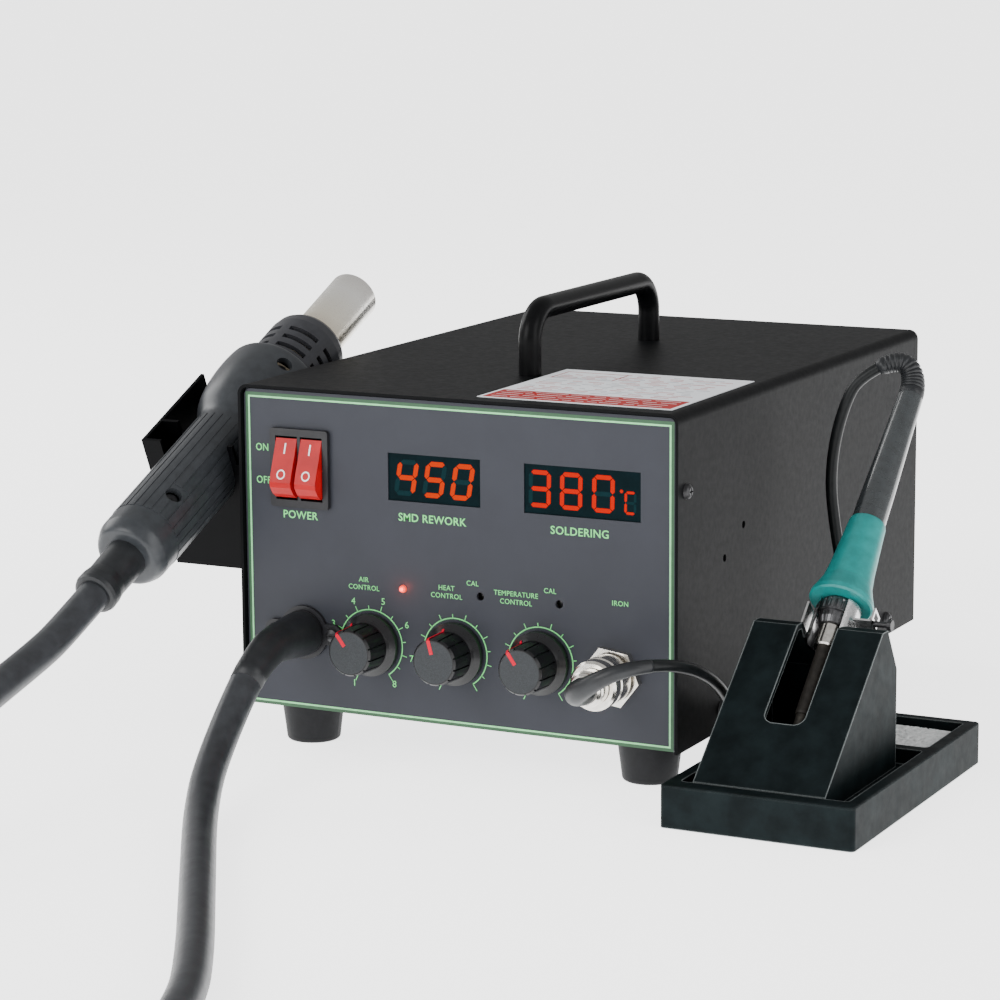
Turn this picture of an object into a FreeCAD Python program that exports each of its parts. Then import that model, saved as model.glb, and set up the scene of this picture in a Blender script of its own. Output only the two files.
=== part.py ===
"""Two-tool rework station: hot air gun and soldering iron on one powder-coated box.

Working frame of this file, in millimetres: X to the right, Y to the back, Z up.  x = 0 is the middle
of the box, y = 0 is the front edge of its cover and z = 0 is the bench.  write_node() moves every
solid so that the saved origin is the bottom centre of the whole object without its cords.
"""

import FreeCAD, Part
import math
import os

V = FreeCAD.Vector

# ---- saved origin, in the working frame -------------------------------------------------------
ORIGIN_X = 18.0
ORIGIN_Y = 92.9

# ---- box --------------------------------------------------------------------------------------
BOX_W = 187.0
BOX_D = 256.0
BOX_TOP = 144.0
FOOT_H = 16.0
COVER_T = 1.2
SHEET_T = 1.5
BEND_R = 4.0
PANEL_Y = 2.0
PANEL_HALF_W = 91.8
PANEL_TOP = 142.2
FLANGE_H = 14.0
REAR_Y = BOX_D - PANEL_Y

FOOT_X = 73.4
FOOT_Y = (20.0, 236.0)
FOOT_R_TOP = 12.5
FOOT_R_BOTTOM = 10.5

MAINS_INLET = (55.0, 46.0)

HANDLE_Y = (67.5, 181.0)
HANDLE_Z = 169.5
HANDLE_R = 4.5
HANDLE_BEND_R = 13.0

COVER_SCREWS = ((7.6, 114.4), (41.3, 24.8), (221.2, 23.5), (248.4, 114.4))
HOLDER_SCREWS = ((62.2, 92.5), (43.8, 82.8))

# ---- front panel ------------------------------------------------------------------------------
SWITCH = (-66.6, 112.3)
SWITCH_SIZE = (25.6, 30.8)
ROCKER_DX = 5.5
ROCKER_W = 9.2
ROCKER_R = 12.2
DISPLAYS = ((-8.6, 111.9, 39.6, 18.4), (53.6, 111.7, 48.0, 18.8))
LED = (-22.4, 68.5)
CAL_HOLES = ((10.9, 68.5), (44.1, 68.5))
DIALS = (("air", -36.6), ("heat", 0.0), ("iron", 36.2))
DIAL_Z = 45.4
KNOB_FACE_Y = -16.0
KNOB_R = 9.3
KNOB_SKIRT_R = 12.2
SHAFT_R = 3.0
SHAFT_GAP = 0.05
SOCKET = (66.4, 43.2)
SOCKET_R = 8.0
RING_GAP = 0.06
PLUG_END_Y = -24.0
PORT = (-66.1, 47.5)
PORT_BOOT_END_Y = -24.0

# ---- hot air gun, along its own axis from the tail --------------------------------------------
GUN_TAIL = V(-117.8, -47.7, 79.6)
GUN_TILT = 24.2
GUN_ROLL = -51.0
GUN_R = 15.0
GUN_HEAD_END = 128.6
GUN_COLLAR_END = 160.0
GUN_NOZZLE_END = 201.0
NOZZLE_R = 10.7
SADDLE_GAP = 0.4
GUN_BOOT_END = -21.5
HOLDER_OUT_X = -142.0

# ---- soldering iron, along its own axis from its collar ---------------------------------------
IRON_DATUM = V(140.4, 40.5, 65.8)
IRON_TILT = 43.0
IRON_GRIP_END = 42.5
IRON_HANDLE_END = 105.0
IRON_TIP_END = -62.0

# ---- iron stand -------------------------------------------------------------------------------
TRAY = (103.5, 178.0, -39.0, 97.0)
TRAY_H = 16.0
TRAY_RIM = 5.0
MOAT_Z = 10.0
MOAT_Y = (-31.5, 46.0)
SPONGE_Y = (51.0, 92.0)
TOWER_X = (113.0, 164.0)
TOWER_TOP = 64.0
SLOT_X = 138.3
SLOT_HALF_W = 7.8
CLIP_R = 8.5

# ---- cords ------------------------------------------------------------------------------------
HOSE_R = 6.25
CORD_R = 2.3
ARC_SHARE = 0.45


# ---- general helpers --------------------------------------------------------------------------

def block(x0, x1, y0, y1, z0, z1):
    return Part.makeBox(x1 - x0, y1 - y0, z1 - z0, V(x0, y0, z0))


def rod(radius, start, end):
    start, end = V(*start), V(*end)
    return Part.makeCylinder(radius, (end - start).Length, start, end - start)


def turned(outline):
    """Solid of revolution about the Y axis from (y, radius) corners, closed along the axis."""
    first, last = outline[0], outline[-1]
    corners = [(0.0, first[0])] + [(r, y) for y, r in outline] + [(0.0, last[0])]
    points = []
    for r, y in corners:
        point = V(r, y, 0)
        if not points or (point - points[-1]).Length > 1e-6:
            points.append(point)
    face = Part.Face(Part.makePolygon(points + [points[0]]))
    return face.revolve(V(0, 0, 0), V(0, 1, 0), 360)


def sleeve(outer, inner):
    return turned(outer).cut(turned(inner))


def moved(shape, x, y, z):
    copy = shape.copy()
    copy.translate(V(x, y, z))
    return copy


def tilted(shape, base, angle, roll=0.0):
    """Lays a solid built along +Y on an axis that climbs to the back from base."""
    copy = shape.copy()
    copy.rotate(V(0, 0, 0), V(0, 1, 0), roll)
    copy.rotate(V(0, 0, 0), V(1, 0, 0), angle)
    copy.translate(base)
    return copy


def extruded_yz(corners, x0, x1):
    points = [V(x0, y, z) for y, z in corners]
    face = Part.Face(Part.makePolygon(points + [points[0]]))
    return face.extrude(V(x1 - x0, 0, 0))


def edges_along(shape, axis, test):
    """Straight edges parallel to an axis whose middle passes a test."""
    picked = []
    for edge in shape.Edges:
        if not isinstance(edge.Curve, Part.Line) or len(edge.Vertexes) < 2:
            continue
        run = edge.Vertexes[1].Point - edge.Vertexes[0].Point
        if run.Length > 1e-6 and abs(run.normalize().dot(axis)) > 0.999:
            if test(edge.CenterOfMass):
                picked.append(edge)
    return picked


def rounded(shape, radius, axis, test=lambda centre: True):
    return shape.makeFillet(radius, edges_along(shape, axis, test))


def fused(shapes):
    whole = shapes[0]
    for shape in shapes[1:]:
        whole = whole.fuse(shape)
    return whole.removeSplitter()


def polygon_prism(sides, radius, x, z, y0, y1, turn=0.0):
    points = []
    for i in range(sides):
        angle = math.radians(turn + 360.0 * i / sides)
        points.append(V(x + radius * math.cos(angle), y0, z + radius * math.sin(angle)))
    face = Part.Face(Part.makePolygon(points + [points[0]]))
    return face.extrude(V(0, y1 - y0, 0))


# ---- box --------------------------------------------------------------------------------------

def panel_openings():
    """Everything that passes through the front sheet, as cutters."""
    y0, y1 = PANEL_Y - 1, PANEL_Y + SHEET_T + 1
    x, z = SWITCH
    cutters = [block(x - 11.1, x + 11.1, y0, y1, z - 13.9, z + 13.9)]
    for x, z, width, height in DISPLAYS:
        cutters.append(block(x - width / 2, x + width / 2, y0, y1, z - height / 2, z + height / 2))
    holes = [(LED, 1.6), (SOCKET, SOCKET_R + 0.1), (PORT, 7.1)]
    holes += [((x, DIAL_Z), 4.7) for name, x in DIALS]
    holes += [(hole, 1.6) for hole in CAL_HOLES]
    for (x, z), radius in holes:
        cutters.append(rod(radius, (x, y0, z), (x, y1, z)))
    return cutters


def rear_openings():
    y0, y1 = REAR_Y - SHEET_T - 1, REAR_Y + 1
    x, z = MAINS_INLET
    cutters = [block(x - 13.6, x + 13.6, y0, y1, z - 10, z + 10)]
    for i in range(7):
        z = 61.0 + 9.0 * i
        cutters.append(block(-72, -22, y0, y1, z, z + 3.2))
    return cutters


def bottom_openings():
    cutters = []
    for i in range(6):
        y = 70.0 + 12.0 * i
        cutters.append(block(-12, 12, y, y + 3.2, FOOT_H - 1, FOOT_H + SHEET_T + 1))
    for x in (-FOOT_X, FOOT_X):
        for y in FOOT_Y:
            cutters.append(rod(1.6, (x, y, FOOT_H - 1), (x, y, FOOT_H + 3)))
    return cutters


def chassis():
    """One bent sheet: front, bottom and rear, with flanges that the cover screws into."""
    z0 = FOOT_H
    outer = block(-PANEL_HALF_W, PANEL_HALF_W, PANEL_Y, REAR_Y, z0, PANEL_TOP)
    outer = rounded(outer, 3.0, V(1, 0, 0), lambda c: c.z < z0 + 1)
    outer = rounded(outer, 3.0, V(0, 1, 0), lambda c: c.z > PANEL_TOP - 1)
    inner = block(-PANEL_HALF_W, PANEL_HALF_W, PANEL_Y + SHEET_T, REAR_Y - SHEET_T,
                  z0 + SHEET_T, PANEL_TOP + 1)
    inner = rounded(inner, 1.5, V(1, 0, 0), lambda c: c.z < z0 + 3)
    pieces = [outer.cut(inner)]
    for side in (-1, 1):
        x0, x1 = sorted((side * PANEL_HALF_W, side * (PANEL_HALF_W - SHEET_T)))
        pieces.append(block(x0, x1, 16, BOX_D - 16, z0 + 1, z0 + FLANGE_H))
        pieces.append(block(x0, x1, PANEL_Y + 1, 13, z0 + FLANGE_H + 3, PANEL_TOP))
        pieces.append(block(x0, x1, BOX_D - 13, REAR_Y - 1, z0 + FLANGE_H + 3, PANEL_TOP))
    sheet = fused(pieces)
    for cutter in panel_openings() + rear_openings() + bottom_openings() + cover_screw_holes():
        sheet = sheet.cut(cutter)
    return sheet


def cover_screw_holes():
    holes = []
    for y, z in COVER_SCREWS:
        holes.append(rod(1.5, (-BOX_W, y, z), (BOX_W, y, z)))
    return holes


def cover():
    half = BOX_W / 2
    outer = block(-half, half, 0, BOX_D, FOOT_H + 0.2, BOX_TOP)
    outer = rounded(outer, BEND_R, V(0, 1, 0), lambda c: c.z > BOX_TOP - 1)
    inner = block(-half + COVER_T, half - COVER_T, -1, BOX_D + 1, FOOT_H - 1, BOX_TOP - COVER_T)
    inner = rounded(inner, BEND_R - COVER_T, V(0, 1, 0), lambda c: c.z > BOX_TOP - 3)
    shell = outer.cut(inner)
    for y, z in COVER_SCREWS + HOLDER_SCREWS:
        shell = shell.cut(rod(1.5, (-BOX_W, y, z), (BOX_W, y, z)))
    for y in HANDLE_Y:
        shell = shell.cut(rod(2.0, (0, y, BOX_TOP - 5), (0, y, BOX_TOP + 1)))
    return shell


def side_screw(side, y, z, depth):
    """Pan-head screw through the cover's side, with a cross recess."""
    x = side * BOX_W / 2
    head = turned([(-2.0, 1.6), (-1.2, 2.6), (0, 3.0)])
    recess = fused([block(-1.5, 1.5, -2.1, -1.3, -0.3, 0.3), block(-0.3, 0.3, -2.1, -1.3, -1.5, 1.5)])
    screw = head.cut(recess).fuse(rod(1.5, (0, 0, 0), (0, depth, 0)))
    screw.rotate(V(0, 0, 0), V(0, 0, 1), 90 * side)
    return moved(screw, x, y, z)


def cover_screws():
    return [side_screw(side, y, z, 4.0) for side in (-1, 1) for y, z in COVER_SCREWS]


def feet():
    solids = []
    for x in (-FOOT_X, FOOT_X):
        for y in FOOT_Y:
            cone = Part.makeCone(FOOT_R_BOTTOM, FOOT_R_TOP, FOOT_H, V(x, y, 0))
            rim = [e for e in cone.Edges if abs(e.CenterOfMass.z) < 0.1 and e.Length > 10]
            cone = cone.makeFillet(1.5, rim[:1])
            well = rod(4.2, (x, y, -1), (x, y, 9))
            hole = rod(1.55, (x, y, 8), (x, y, FOOT_H + 1))
            solids.append(cone.cut(well).cut(hole))
    return solids


def foot_screws():
    solids = []
    for x in (-FOOT_X, FOOT_X):
        for y in FOOT_Y:
            head = rod(3.4, (x, y, 6.8), (x, y, 9.0))
            solids.append(head.fuse(rod(1.5, (x, y, 9.0), (x, y, FOOT_H + 6))))
    return solids


def carry_handle():
    y0, y1 = HANDLE_Y
    r = HANDLE_BEND_R
    s = r * (1 - math.sqrt(0.5))
    path = Part.Wire([
        Part.LineSegment(V(0, y0, BOX_TOP), V(0, y0, HANDLE_Z - r)).toShape(),
        Part.Arc(V(0, y0, HANDLE_Z - r), V(0, y0 + s, HANDLE_Z - s), V(0, y0 + r, HANDLE_Z)).toShape(),
        Part.LineSegment(V(0, y0 + r, HANDLE_Z), V(0, y1 - r, HANDLE_Z)).toShape(),
        Part.Arc(V(0, y1 - r, HANDLE_Z), V(0, y1 - s, HANDLE_Z - s), V(0, y1, HANDLE_Z - r)).toShape(),
        Part.LineSegment(V(0, y1, HANDLE_Z - r), V(0, y1, BOX_TOP)).toShape(),
    ])
    ring = Part.Wire([Part.makeCircle(HANDLE_R, V(0, y0, BOX_TOP), V(0, 0, 1))])
    bar = path.makePipeShell([ring], True, True)
    for y in HANDLE_Y:
        bar = bar.cut(rod(2.0, (0, y, BOX_TOP - 1), (0, y, BOX_TOP + 9)))
    return bar


def handle_screws():
    solids = []
    for y in HANDLE_Y:
        z = BOX_TOP - COVER_T
        head = rod(3.6, (0, y, z - 2.6), (0, y, z))
        solids.append(head.fuse(rod(1.95, (0, y, z - 0.5), (0, y, z + 9))))
    return solids


def top_label():
    return block(7.0, 87.5, 8.0, 86.5, BOX_TOP, BOX_TOP + 0.25)


def mains_inlet():
    """Snap-in appliance inlet: flange, shell, cavity and three flat pins."""
    x, z = MAINS_INLET
    flange = block(x - 15.4, x + 15.4, REAR_Y, REAR_Y + 2.0, z - 11.3, z + 11.3)
    shell = block(x - 13.5, x + 13.5, REAR_Y - 16, REAR_Y, z - 9.9, z + 9.9)
    cavity = block(x - 12.1, x + 12.1, REAR_Y - 14.5, REAR_Y + 3, z - 8.2, z + 8.2)
    cavity = rounded(cavity, 3.5, V(0, 1, 0), lambda c: c.z > z)
    body = flange.fuse(shell).cut(cavity)
    for dx, dz in ((-7.0, -2.0), (0.0, 2.0), (7.0, -2.0)):
        body = body.fuse(block(x + dx - 1, x + dx + 1, REAR_Y - 15, REAR_Y - 5, z + dz - 2, z + dz + 2))
    return body


# ---- switch, displays, lamp -------------------------------------------------------------------

def rocker_centres():
    return (("left", SWITCH[0] - ROCKER_DX), ("right", SWITCH[0] + ROCKER_DX))


def switch_bezel():
    x, z = SWITCH
    width, height = SWITCH_SIZE
    flange = block(x - width / 2, x + width / 2, 0, PANEL_Y, z - height / 2, z + height / 2)
    flange = rounded(flange, 1.2, V(0, 1, 0))
    body = flange.fuse(block(x - 10.9, x + 10.9, PANEL_Y, 21, z - 13.7, z + 13.7))
    for name, cx in rocker_centres():
        half = ROCKER_W / 2 + 0.25
        body = body.cut(block(cx - half, cx + half, -1, 19, z - ROCKER_R - 0.3, z + ROCKER_R + 0.3))
    return body


def rocker(cx):
    """Rocker cap at rest: upper end pressed in, lower end standing out."""
    outline = [(0.4, 11.6), (-2.2, 4.0), (-4.3, -1.5), (-5.4, -5.0), (-5.0, -7.0), (-3.0, -9.8),
               (-0.6, -11.4), (8.0, -8.5), (8.0, 8.5)]
    corners = [(y, SWITCH[1] + dz) for y, dz in outline]
    return extruded_yz(corners, cx - ROCKER_W / 2, cx + ROCKER_W / 2)


def display_windows():
    solids = []
    for x, z, width, height in DISPLAYS:
        w, h = width / 2 - 0.1, height / 2 - 0.1
        solids.append(block(x - w, x + w, PANEL_Y + 0.5, PANEL_Y + 1.5, z - h, z + h))
    return solids


def display_modules():
    solids = []
    for x, z, width, height in DISPLAYS:
        w, h = width / 2 - 0.6, height / 2 + 0.2
        solids.append(block(x - w, x + w, PANEL_Y + SHEET_T, PANEL_Y + 9.5, z - h, z + h))
    return solids


def display_board():
    y0 = PANEL_Y + 9.5
    return block(-34, 84, y0, y0 + 1.6, 93, 131)


def indicator_led():
    x, z = LED
    lens = turned([(0.6, 0.8), (1.2, 1.35), (2.0, 1.5), (9.0, 1.5), (9.0, 1.9), (10.0, 1.9)])
    return moved(lens, x, 0, z)


# ---- dials ------------------------------------------------------------------------------------

def knob(x):
    """Pressed-on knob: skirt, fluted cap, hollow back and a blind hole for the shaft."""
    outline = [(1.2, 7.6), (1.2, KNOB_SKIRT_R), (-1.0, KNOB_SKIRT_R), (-2.6, KNOB_R + 1.0),
               (-3.4, KNOB_R + 0.2), (KNOB_FACE_Y + 0.8, KNOB_R - 0.2), (KNOB_FACE_Y, KNOB_R - 0.9)]
    body = turned(outline)
    body = body.cut(turned([(2.0, 7.6), (-4.0, 7.6)]))
    body = body.cut(turned([(-3.0, SHAFT_R), (-12.0, SHAFT_R)]))
    for i in range(12):
        groove = block(KNOB_R - 0.75, KNOB_R + 1.5, KNOB_FACE_Y - 1, -4.2, -0.35, 0.35)
        groove.rotate(V(0, 0, 0), V(0, 1, 0), 30.0 * i + 15)
        body = body.cut(groove)
    return moved(body, x, 0, DIAL_Z)


def shaft(x):
    return rod(SHAFT_R, (x, -12.0, DIAL_Z), (x, 10.0, DIAL_Z))


def panel_controls():
    """Bodies of the three potentiometers and of the two trimmers behind the panel."""
    solids = trimmer_bodies()
    for name, x in DIALS:
        bushing = rod(4.6, (x, -2.0, DIAL_Z), (x, 4.0, DIAL_Z))
        nut = polygon_prism(6, 6.6, x, DIAL_Z, 0.2, PANEL_Y)
        can = rod(8.4, (x, PANEL_Y + SHEET_T, DIAL_Z), (x, 13.5, DIAL_Z))
        bore = rod(SHAFT_R + SHAFT_GAP, (x, -3, DIAL_Z), (x, 10.5, DIAL_Z))
        solids.append(fused([bushing, nut, can]).cut(bore))
    return solids


def trimmer_bodies():
    solids = []
    for x, z in CAL_HOLES:
        body = block(x - 4.7, x + 4.7, 7.0, 13.5, z - 4.7, z + 4.7)
        solids.append(body.cut(rod(2.05, (x, 6, z), (x, 11, z))))
    return solids


def trimmer_rotor(x, z):
    screw = rod(2.0, (x, 6.2, z), (x, 10.8, z))
    return screw.cut(block(x - 1.6, x + 1.6, 5.5, 7.4, z - 0.35, z + 0.35))


def control_board():
    return block(-50, 84, 13.5, 15.1, 26, 78)


# ---- iron connector ---------------------------------------------------------------------------

def iron_socket():
    x, z = SOCKET
    barrel = turned([(-9.0, SOCKET_R - 0.5), (-8.5, SOCKET_R), (PANEL_Y + SHEET_T, SOCKET_R),
                     (PANEL_Y + SHEET_T, 10.5), (5.5, 10.5), (5.5, 7.5), (12.0, 7.5)])
    return moved(barrel.cut(rod(6.2, (0, -10, 0), (0, -6, 0))), x, 0, z)


def socket_nut():
    x, z = SOCKET
    prism = polygon_prism(6, 11.9, x, z, -1.2, PANEL_Y, turn=-8)
    return prism.cut(rod(SOCKET_R, (x, -2, z), (x, 3, z)))


def plug_body():
    """Disc behind the ring, waist, rear shell and cord clamp."""
    x, z = SOCKET
    body = turned([(-9.6, 7.6), (-13.2, 7.6), (-13.2, 6.4), (-17.2, 6.4), (-17.2, 7.0), (-21.4, 7.0),
                   (-22.0, 6.4), (-23.0, 6.4), (PLUG_END_Y, 5.6)])
    return moved(body, x, 0, z)


def coupling_ring():
    x, z = SOCKET
    outer = [(-2.6, 9.0), (-3.0, 9.5), (-10.0, 9.5), (-10.4, 9.0), (-11.4, 9.0), (-11.8, 9.5),
             (-15.6, 9.5), (-16.6, 8.6)]
    ring = turned(outer).cut(turned([(-2.0, SOCKET_R + RING_GAP), (-14.0, SOCKET_R + RING_GAP)]))
    return moved(ring.cut(turned([(-13.0, 6.7), (-18.0, 6.7)])), x, 0, z)


# ---- air port and inside ----------------------------------------------------------------------

def hose_flange():
    x, z = PORT
    plate = fused([rod(10.6, (x, 0.4, z), (x, PANEL_Y, z)),
                   block(x - 13, x + 13, 0.4, PANEL_Y, z - 4.2, z + 4.2),
                   rod(4.2, (x - 13, 0.4, z), (x - 13, PANEL_Y, z)),
                   rod(4.2, (x + 13, 0.4, z), (x + 13, PANEL_Y, z))])
    return plate.cut(rod(7.1, (x, -1, z), (x, 3, z)))


def flange_screws():
    x, z = PORT
    solids = []
    for dx in (-13, 13):
        head = turned([(-1.3, 1.2), (-0.7, 2.4), (0.4, 2.7)])
        head = head.cut(block(-2.0, 2.0, -1.5, -0.8, -0.3, 0.3))
        solids.append(moved(head, x + dx, 0, z))
    return solids


def port_boot():
    x, z = PORT
    boot = turned([(8.0, 7.0), (0.4, 7.0), (0.4, 8.9), (-2.0, 9.0), (-12.0, 8.7), (-18.0, 8.0),
                   (PORT_BOOT_END_Y, 7.0)])
    return moved(boot, x, 0, z)


def air_tube():
    """Silicone tube from the pump's outlet to the back of the port."""
    x, z = PORT
    points = [V(x, 8, z), V(x, 30, z), V(x + 10, 46, z + 4), V(-50, 66, 56)]
    return bent_tube(points, 4.0, "air tube")


def air_pump():
    body = block(-80, -20, 66, 166, 22, 82)
    body = rounded(body, 4.0, V(0, 0, 1))
    lid = block(-76, -24, 70, 162, 82, 88)
    return body.fuse(lid)


def pump_mounts():
    return [rod(6.0, (x, y, FOOT_H + SHEET_T), (x, y, 22)) for x in (-72, -28) for y in (76, 156)]


def transformer_core():
    z0 = FOOT_H + SHEET_T
    core = block(22, 82, 150, 200, z0, z0 + 50)
    return core.cut(block(32, 72, 149, 201, z0 + 12, z0 + 38))


def transformer_coil():
    z0 = FOOT_H + SHEET_T
    return rounded(block(33, 71, 144, 206, z0 + 13, z0 + 37), 4.0, V(0, 0, 1))


# ---- hot air gun ------------------------------------------------------------------------------

def gun_placed(shape, roll=0.0):
    return tilted(shape, GUN_TAIL, GUN_TILT, roll)


def gun_outline():
    """Outer profile of the handle and its head, as edges to be turned about the Y axis."""
    tail = Part.BSplineCurve()
    tail.interpolate(Points=[V(10.6, 3.5, 0), V(13.2, 4.9, 0), V(14.6, 8.0, 0), V(GUN_R, 13.0, 0)],
                     Tangents=[V(1, 0, 0), V(0.7, 0.7, 0), V(0.1, 1, 0), V(0, 1, 0)],
                     TangentFlags=[True, False, False, True])
    head = Part.BSplineCurve()
    head.interpolate(Points=[V(GUN_R, 86.0, 0), V(16.6, 91.5, 0), V(18.9, 96.0, 0), V(21.2, 105.0, 0),
                             V(22.2, 117.0, 0), V(22.0, 125.0, 0), V(19.4, GUN_HEAD_END, 0)],
                     Tangents=[V(0, 1, 0)] + [V(0, 1, 0)] * 5 + [V(-1, 0.3, 0)],
                     TangentFlags=[True] + [False] * 5 + [True])
    straight = Part.LineSegment(V(GUN_R, 13.0, 0), V(GUN_R, 86.0, 0))
    back = Part.LineSegment(V(0, 3.5, 0), V(10.6, 3.5, 0))
    front = Part.LineSegment(V(19.4, GUN_HEAD_END, 0), V(0, GUN_HEAD_END, 0))
    axis = Part.LineSegment(V(0, GUN_HEAD_END, 0), V(0, 3.5, 0))
    return [edge.toShape() for edge in (back, tail, straight, head, front, axis)]


def gun_hull():
    outer = Part.Face(Part.Wire(gun_outline())).revolve(V(0, 0, 0), V(0, 1, 0), 360)
    inner = turned([(6.5, 12.2), (88.0, 12.2), (97.0, 16.6), (105.0, 18.6), (124.0, 19.4),
                    (125.4, 17.0), (GUN_HEAD_END + 1, 17.0)])
    hull = outer.cut(inner).cut(rod(6.5, (0, -1, 0), (0, 8, 0)))
    for u, reach in ((31.0, 11.0), (119.0, 16.0)):
        hull = hull.cut(rod(3.3, (reach, u, 0), (30, u, 0)))
    return hull


def gun_shell(side):
    """Half of the moulded handle, split on the plane that its screws cross."""
    x0, x1 = sorted((0.0, side * 40.0))
    half = block(x0, x1, -5, GUN_HEAD_END + 5, -40, 40)
    return gun_placed(gun_hull().common(half), GUN_ROLL)


def gun_collar():
    """Heat guard with three rows of slots round it."""
    a, b = GUN_HEAD_END - 3.0, GUN_COLLAR_END
    shell = sleeve([(a, 16.9), (b - 6, 16.9), (b - 2, 16.3), (b, 15.2)],
                   [(a - 1, 14.9), (b - 3, 14.6)])
    shell = shell.cut(rod(NOZZLE_R + 0.1, (0, b - 4, 0), (0, b + 1, 0)))
    for row in range(3):
        for i in range(6):
            shell = shell.cut(slot_cutter(GUN_HEAD_END + 5.1 + 6.0 * row, 60.0 * i + 58.0))
    return gun_placed(shell)


def slot_cutter(u, angle):
    """Ring sector of 46 degrees, 2.6 mm wide along the axis."""
    ring = sleeve([(u, 22.0), (u + 2.6, 22.0)], [(u - 1, 13.0), (u + 4, 13.0)])
    reach = 40.0
    half = math.radians(23)
    corner = V(reach, u - 1, reach * math.tan(half))
    mirror = V(reach, u - 1, -reach * math.tan(half))
    wedge = Part.Face(Part.makePolygon([V(0, u - 1, 0), corner, mirror, V(0, u - 1, 0)]))
    sector = ring.common(wedge.extrude(V(0, 6, 0)))
    sector.rotate(V(0, 0, 0), V(0, 1, 0), angle)
    return sector


def nozzle_tube():
    """Steel tube: its bare front end is the seat for slip-on nozzles."""
    hidden_r = NOZZLE_R - 0.3
    tube = sleeve([(118.0, hidden_r), (GUN_COLLAR_END, hidden_r), (GUN_COLLAR_END, NOZZLE_R),
                   (GUN_NOZZLE_END, NOZZLE_R)],
                  [(117.0, NOZZLE_R - 1.1), (GUN_NOZZLE_END + 1, NOZZLE_R - 1.1)])
    return gun_placed(tube)


def heater_core():
    end = GUN_NOZZLE_END - 11
    core = turned([(108.0, 8.6), (end, 8.6)])
    for i in range(6):
        angle = math.radians(60 * i)
        x, z = 5.4 * math.cos(angle), 5.4 * math.sin(angle)
        core = core.cut(rod(1.8, (x, 107, z), (x, end + 1, z)))
    return gun_placed(core.cut(rod(1.8, (0, 107, 0), (0, end + 1, 0))))


def gun_boot():
    end = GUN_BOOT_END
    boot = turned([(7.0, 6.4), (3.5, 6.4), (3.5, 8.3), (-12.0, 8.0), (-16.0, 8.7), (end + 2, 8.8),
                   (end + 0.6, 8.3), (end, 7.2)])
    return gun_placed(boot)


def gun_holder():
    """Sheet cradle on the box's left side, with two notched walls that carry the handle."""
    x_in = -BOX_W / 2 - GUN_TAIL.x
    x_out = HOLDER_OUT_X - GUN_TAIL.x
    u0, u1, v0, v1 = 64.0, 114.0, -46.5, 13.0
    t = SHEET_T
    walls = [block(x_in - t, x_in, u0, u1, v0, v1),
             block(x_out, x_out + t, u0, u1, v0, v1),
             block(x_out, x_in, u0, u1, v0, v0 + t)]
    saddle = GUN_R + SADDLE_GAP
    for u in (u0, 78.2):
        wall = block(x_out, x_in, u, u + t, v0, v1)
        wall = wall.cut(rod(saddle, (0, u - 1, 0), (0, u + t + 1, 0)))
        walls.append(wall.cut(block(-saddle, saddle, u - 1, u + t + 1, 0, v1 + 1)))
    cradle = gun_placed(fused(walls))
    for y, z in HOLDER_SCREWS:
        cradle = cradle.cut(rod(1.6, (-100, y, z), (-90, y, z)))
    y, z = COVER_SCREWS[0]
    return cradle.cut(rod(4.5, (-100, y, z), (-90, y, z)))


def holder_screws():
    solids = []
    for y, z in HOLDER_SCREWS:
        x = -BOX_W / 2 - SHEET_T
        head = turned([(-1.8, 1.4), (-1.0, 2.6), (0, 2.9)]).fuse(rod(1.45, (0, 0, 0), (0, 6.0, 0)))
        head.rotate(V(0, 0, 0), V(0, 0, 1), -90)
        solids.append(moved(head, x, y, z))
    return solids


# ---- soldering iron ---------------------------------------------------------------------------

def iron_placed(shape):
    return tilted(shape, IRON_DATUM, IRON_TILT)


def iron_handle():
    return iron_placed(turned([(3.5, 5.0), (IRON_GRIP_END, 5.0), (IRON_GRIP_END, 6.6), (58.0, 6.3),
                               (85.0, 5.4), (IRON_HANDLE_END - 1, 4.9), (IRON_HANDLE_END, 4.4)]))


def iron_grip():
    outer = [(4.5, 11.6), (5.2, 12.3), (7.0, 12.2), (10.0, 11.0), (14.0, 9.6), (20.0, 8.8),
             (33.0, 7.8), (IRON_GRIP_END - 1, 7.2), (IRON_GRIP_END, 6.9)]
    return iron_placed(sleeve(outer, [(3.5, 5.0), (IRON_GRIP_END + 1, 5.0)]))


def iron_collar():
    collar = turned([(-6.5, 5.2), (-4.0, 6.0), (-1.6, 6.0), (-1.6, 6.9), (3.4, 6.9), (4.5, 6.2)])
    collar = collar.cut(rod(5.0, (0, 3.5, 0), (0, 6, 0)))
    for i in range(18):
        groove = block(6.45, 7.5, -0.6, 2.8, -0.35, 0.35)
        groove.rotate(V(0, 0, 0), V(0, 1, 0), 20.0 * i)
        collar = collar.cut(groove)
    return iron_placed(collar)


def iron_nut():
    return iron_placed(sleeve([(-16.0, 4.2), (-15.4, 4.7), (-7.1, 4.7), (-6.5, 4.2)],
                              [(-17.0, 3.2), (-6.0, 3.2)]))


def iron_barrel():
    return iron_placed(turned([(-46.0, 3.0), (-45.0, 3.2), (-6.5, 3.2)]))


def iron_tip():
    return iron_placed(turned([(IRON_TIP_END, 0.4), (-54.0, 2.3), (-46.0, 2.6)]))


def relief_points():
    """Line of the bent strain relief, from the handle's end over to the cord."""
    start = iron_placed(Part.Vertex(0, IRON_HANDLE_END, 0)).Point
    knee = iron_placed(Part.Vertex(0, IRON_HANDLE_END + 6, 0)).Point
    before, last = [V(*point) for point in IRON_CORD_FROM_COIL[-2:]]
    along = (last - before).normalize()
    return [start, knee, V(137.3, 123.4, 148.9), last + along * 5.0, last + along * 0.06]


def iron_strain_relief():
    return bent_tube(relief_points(), 3.4, "strain relief")


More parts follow.
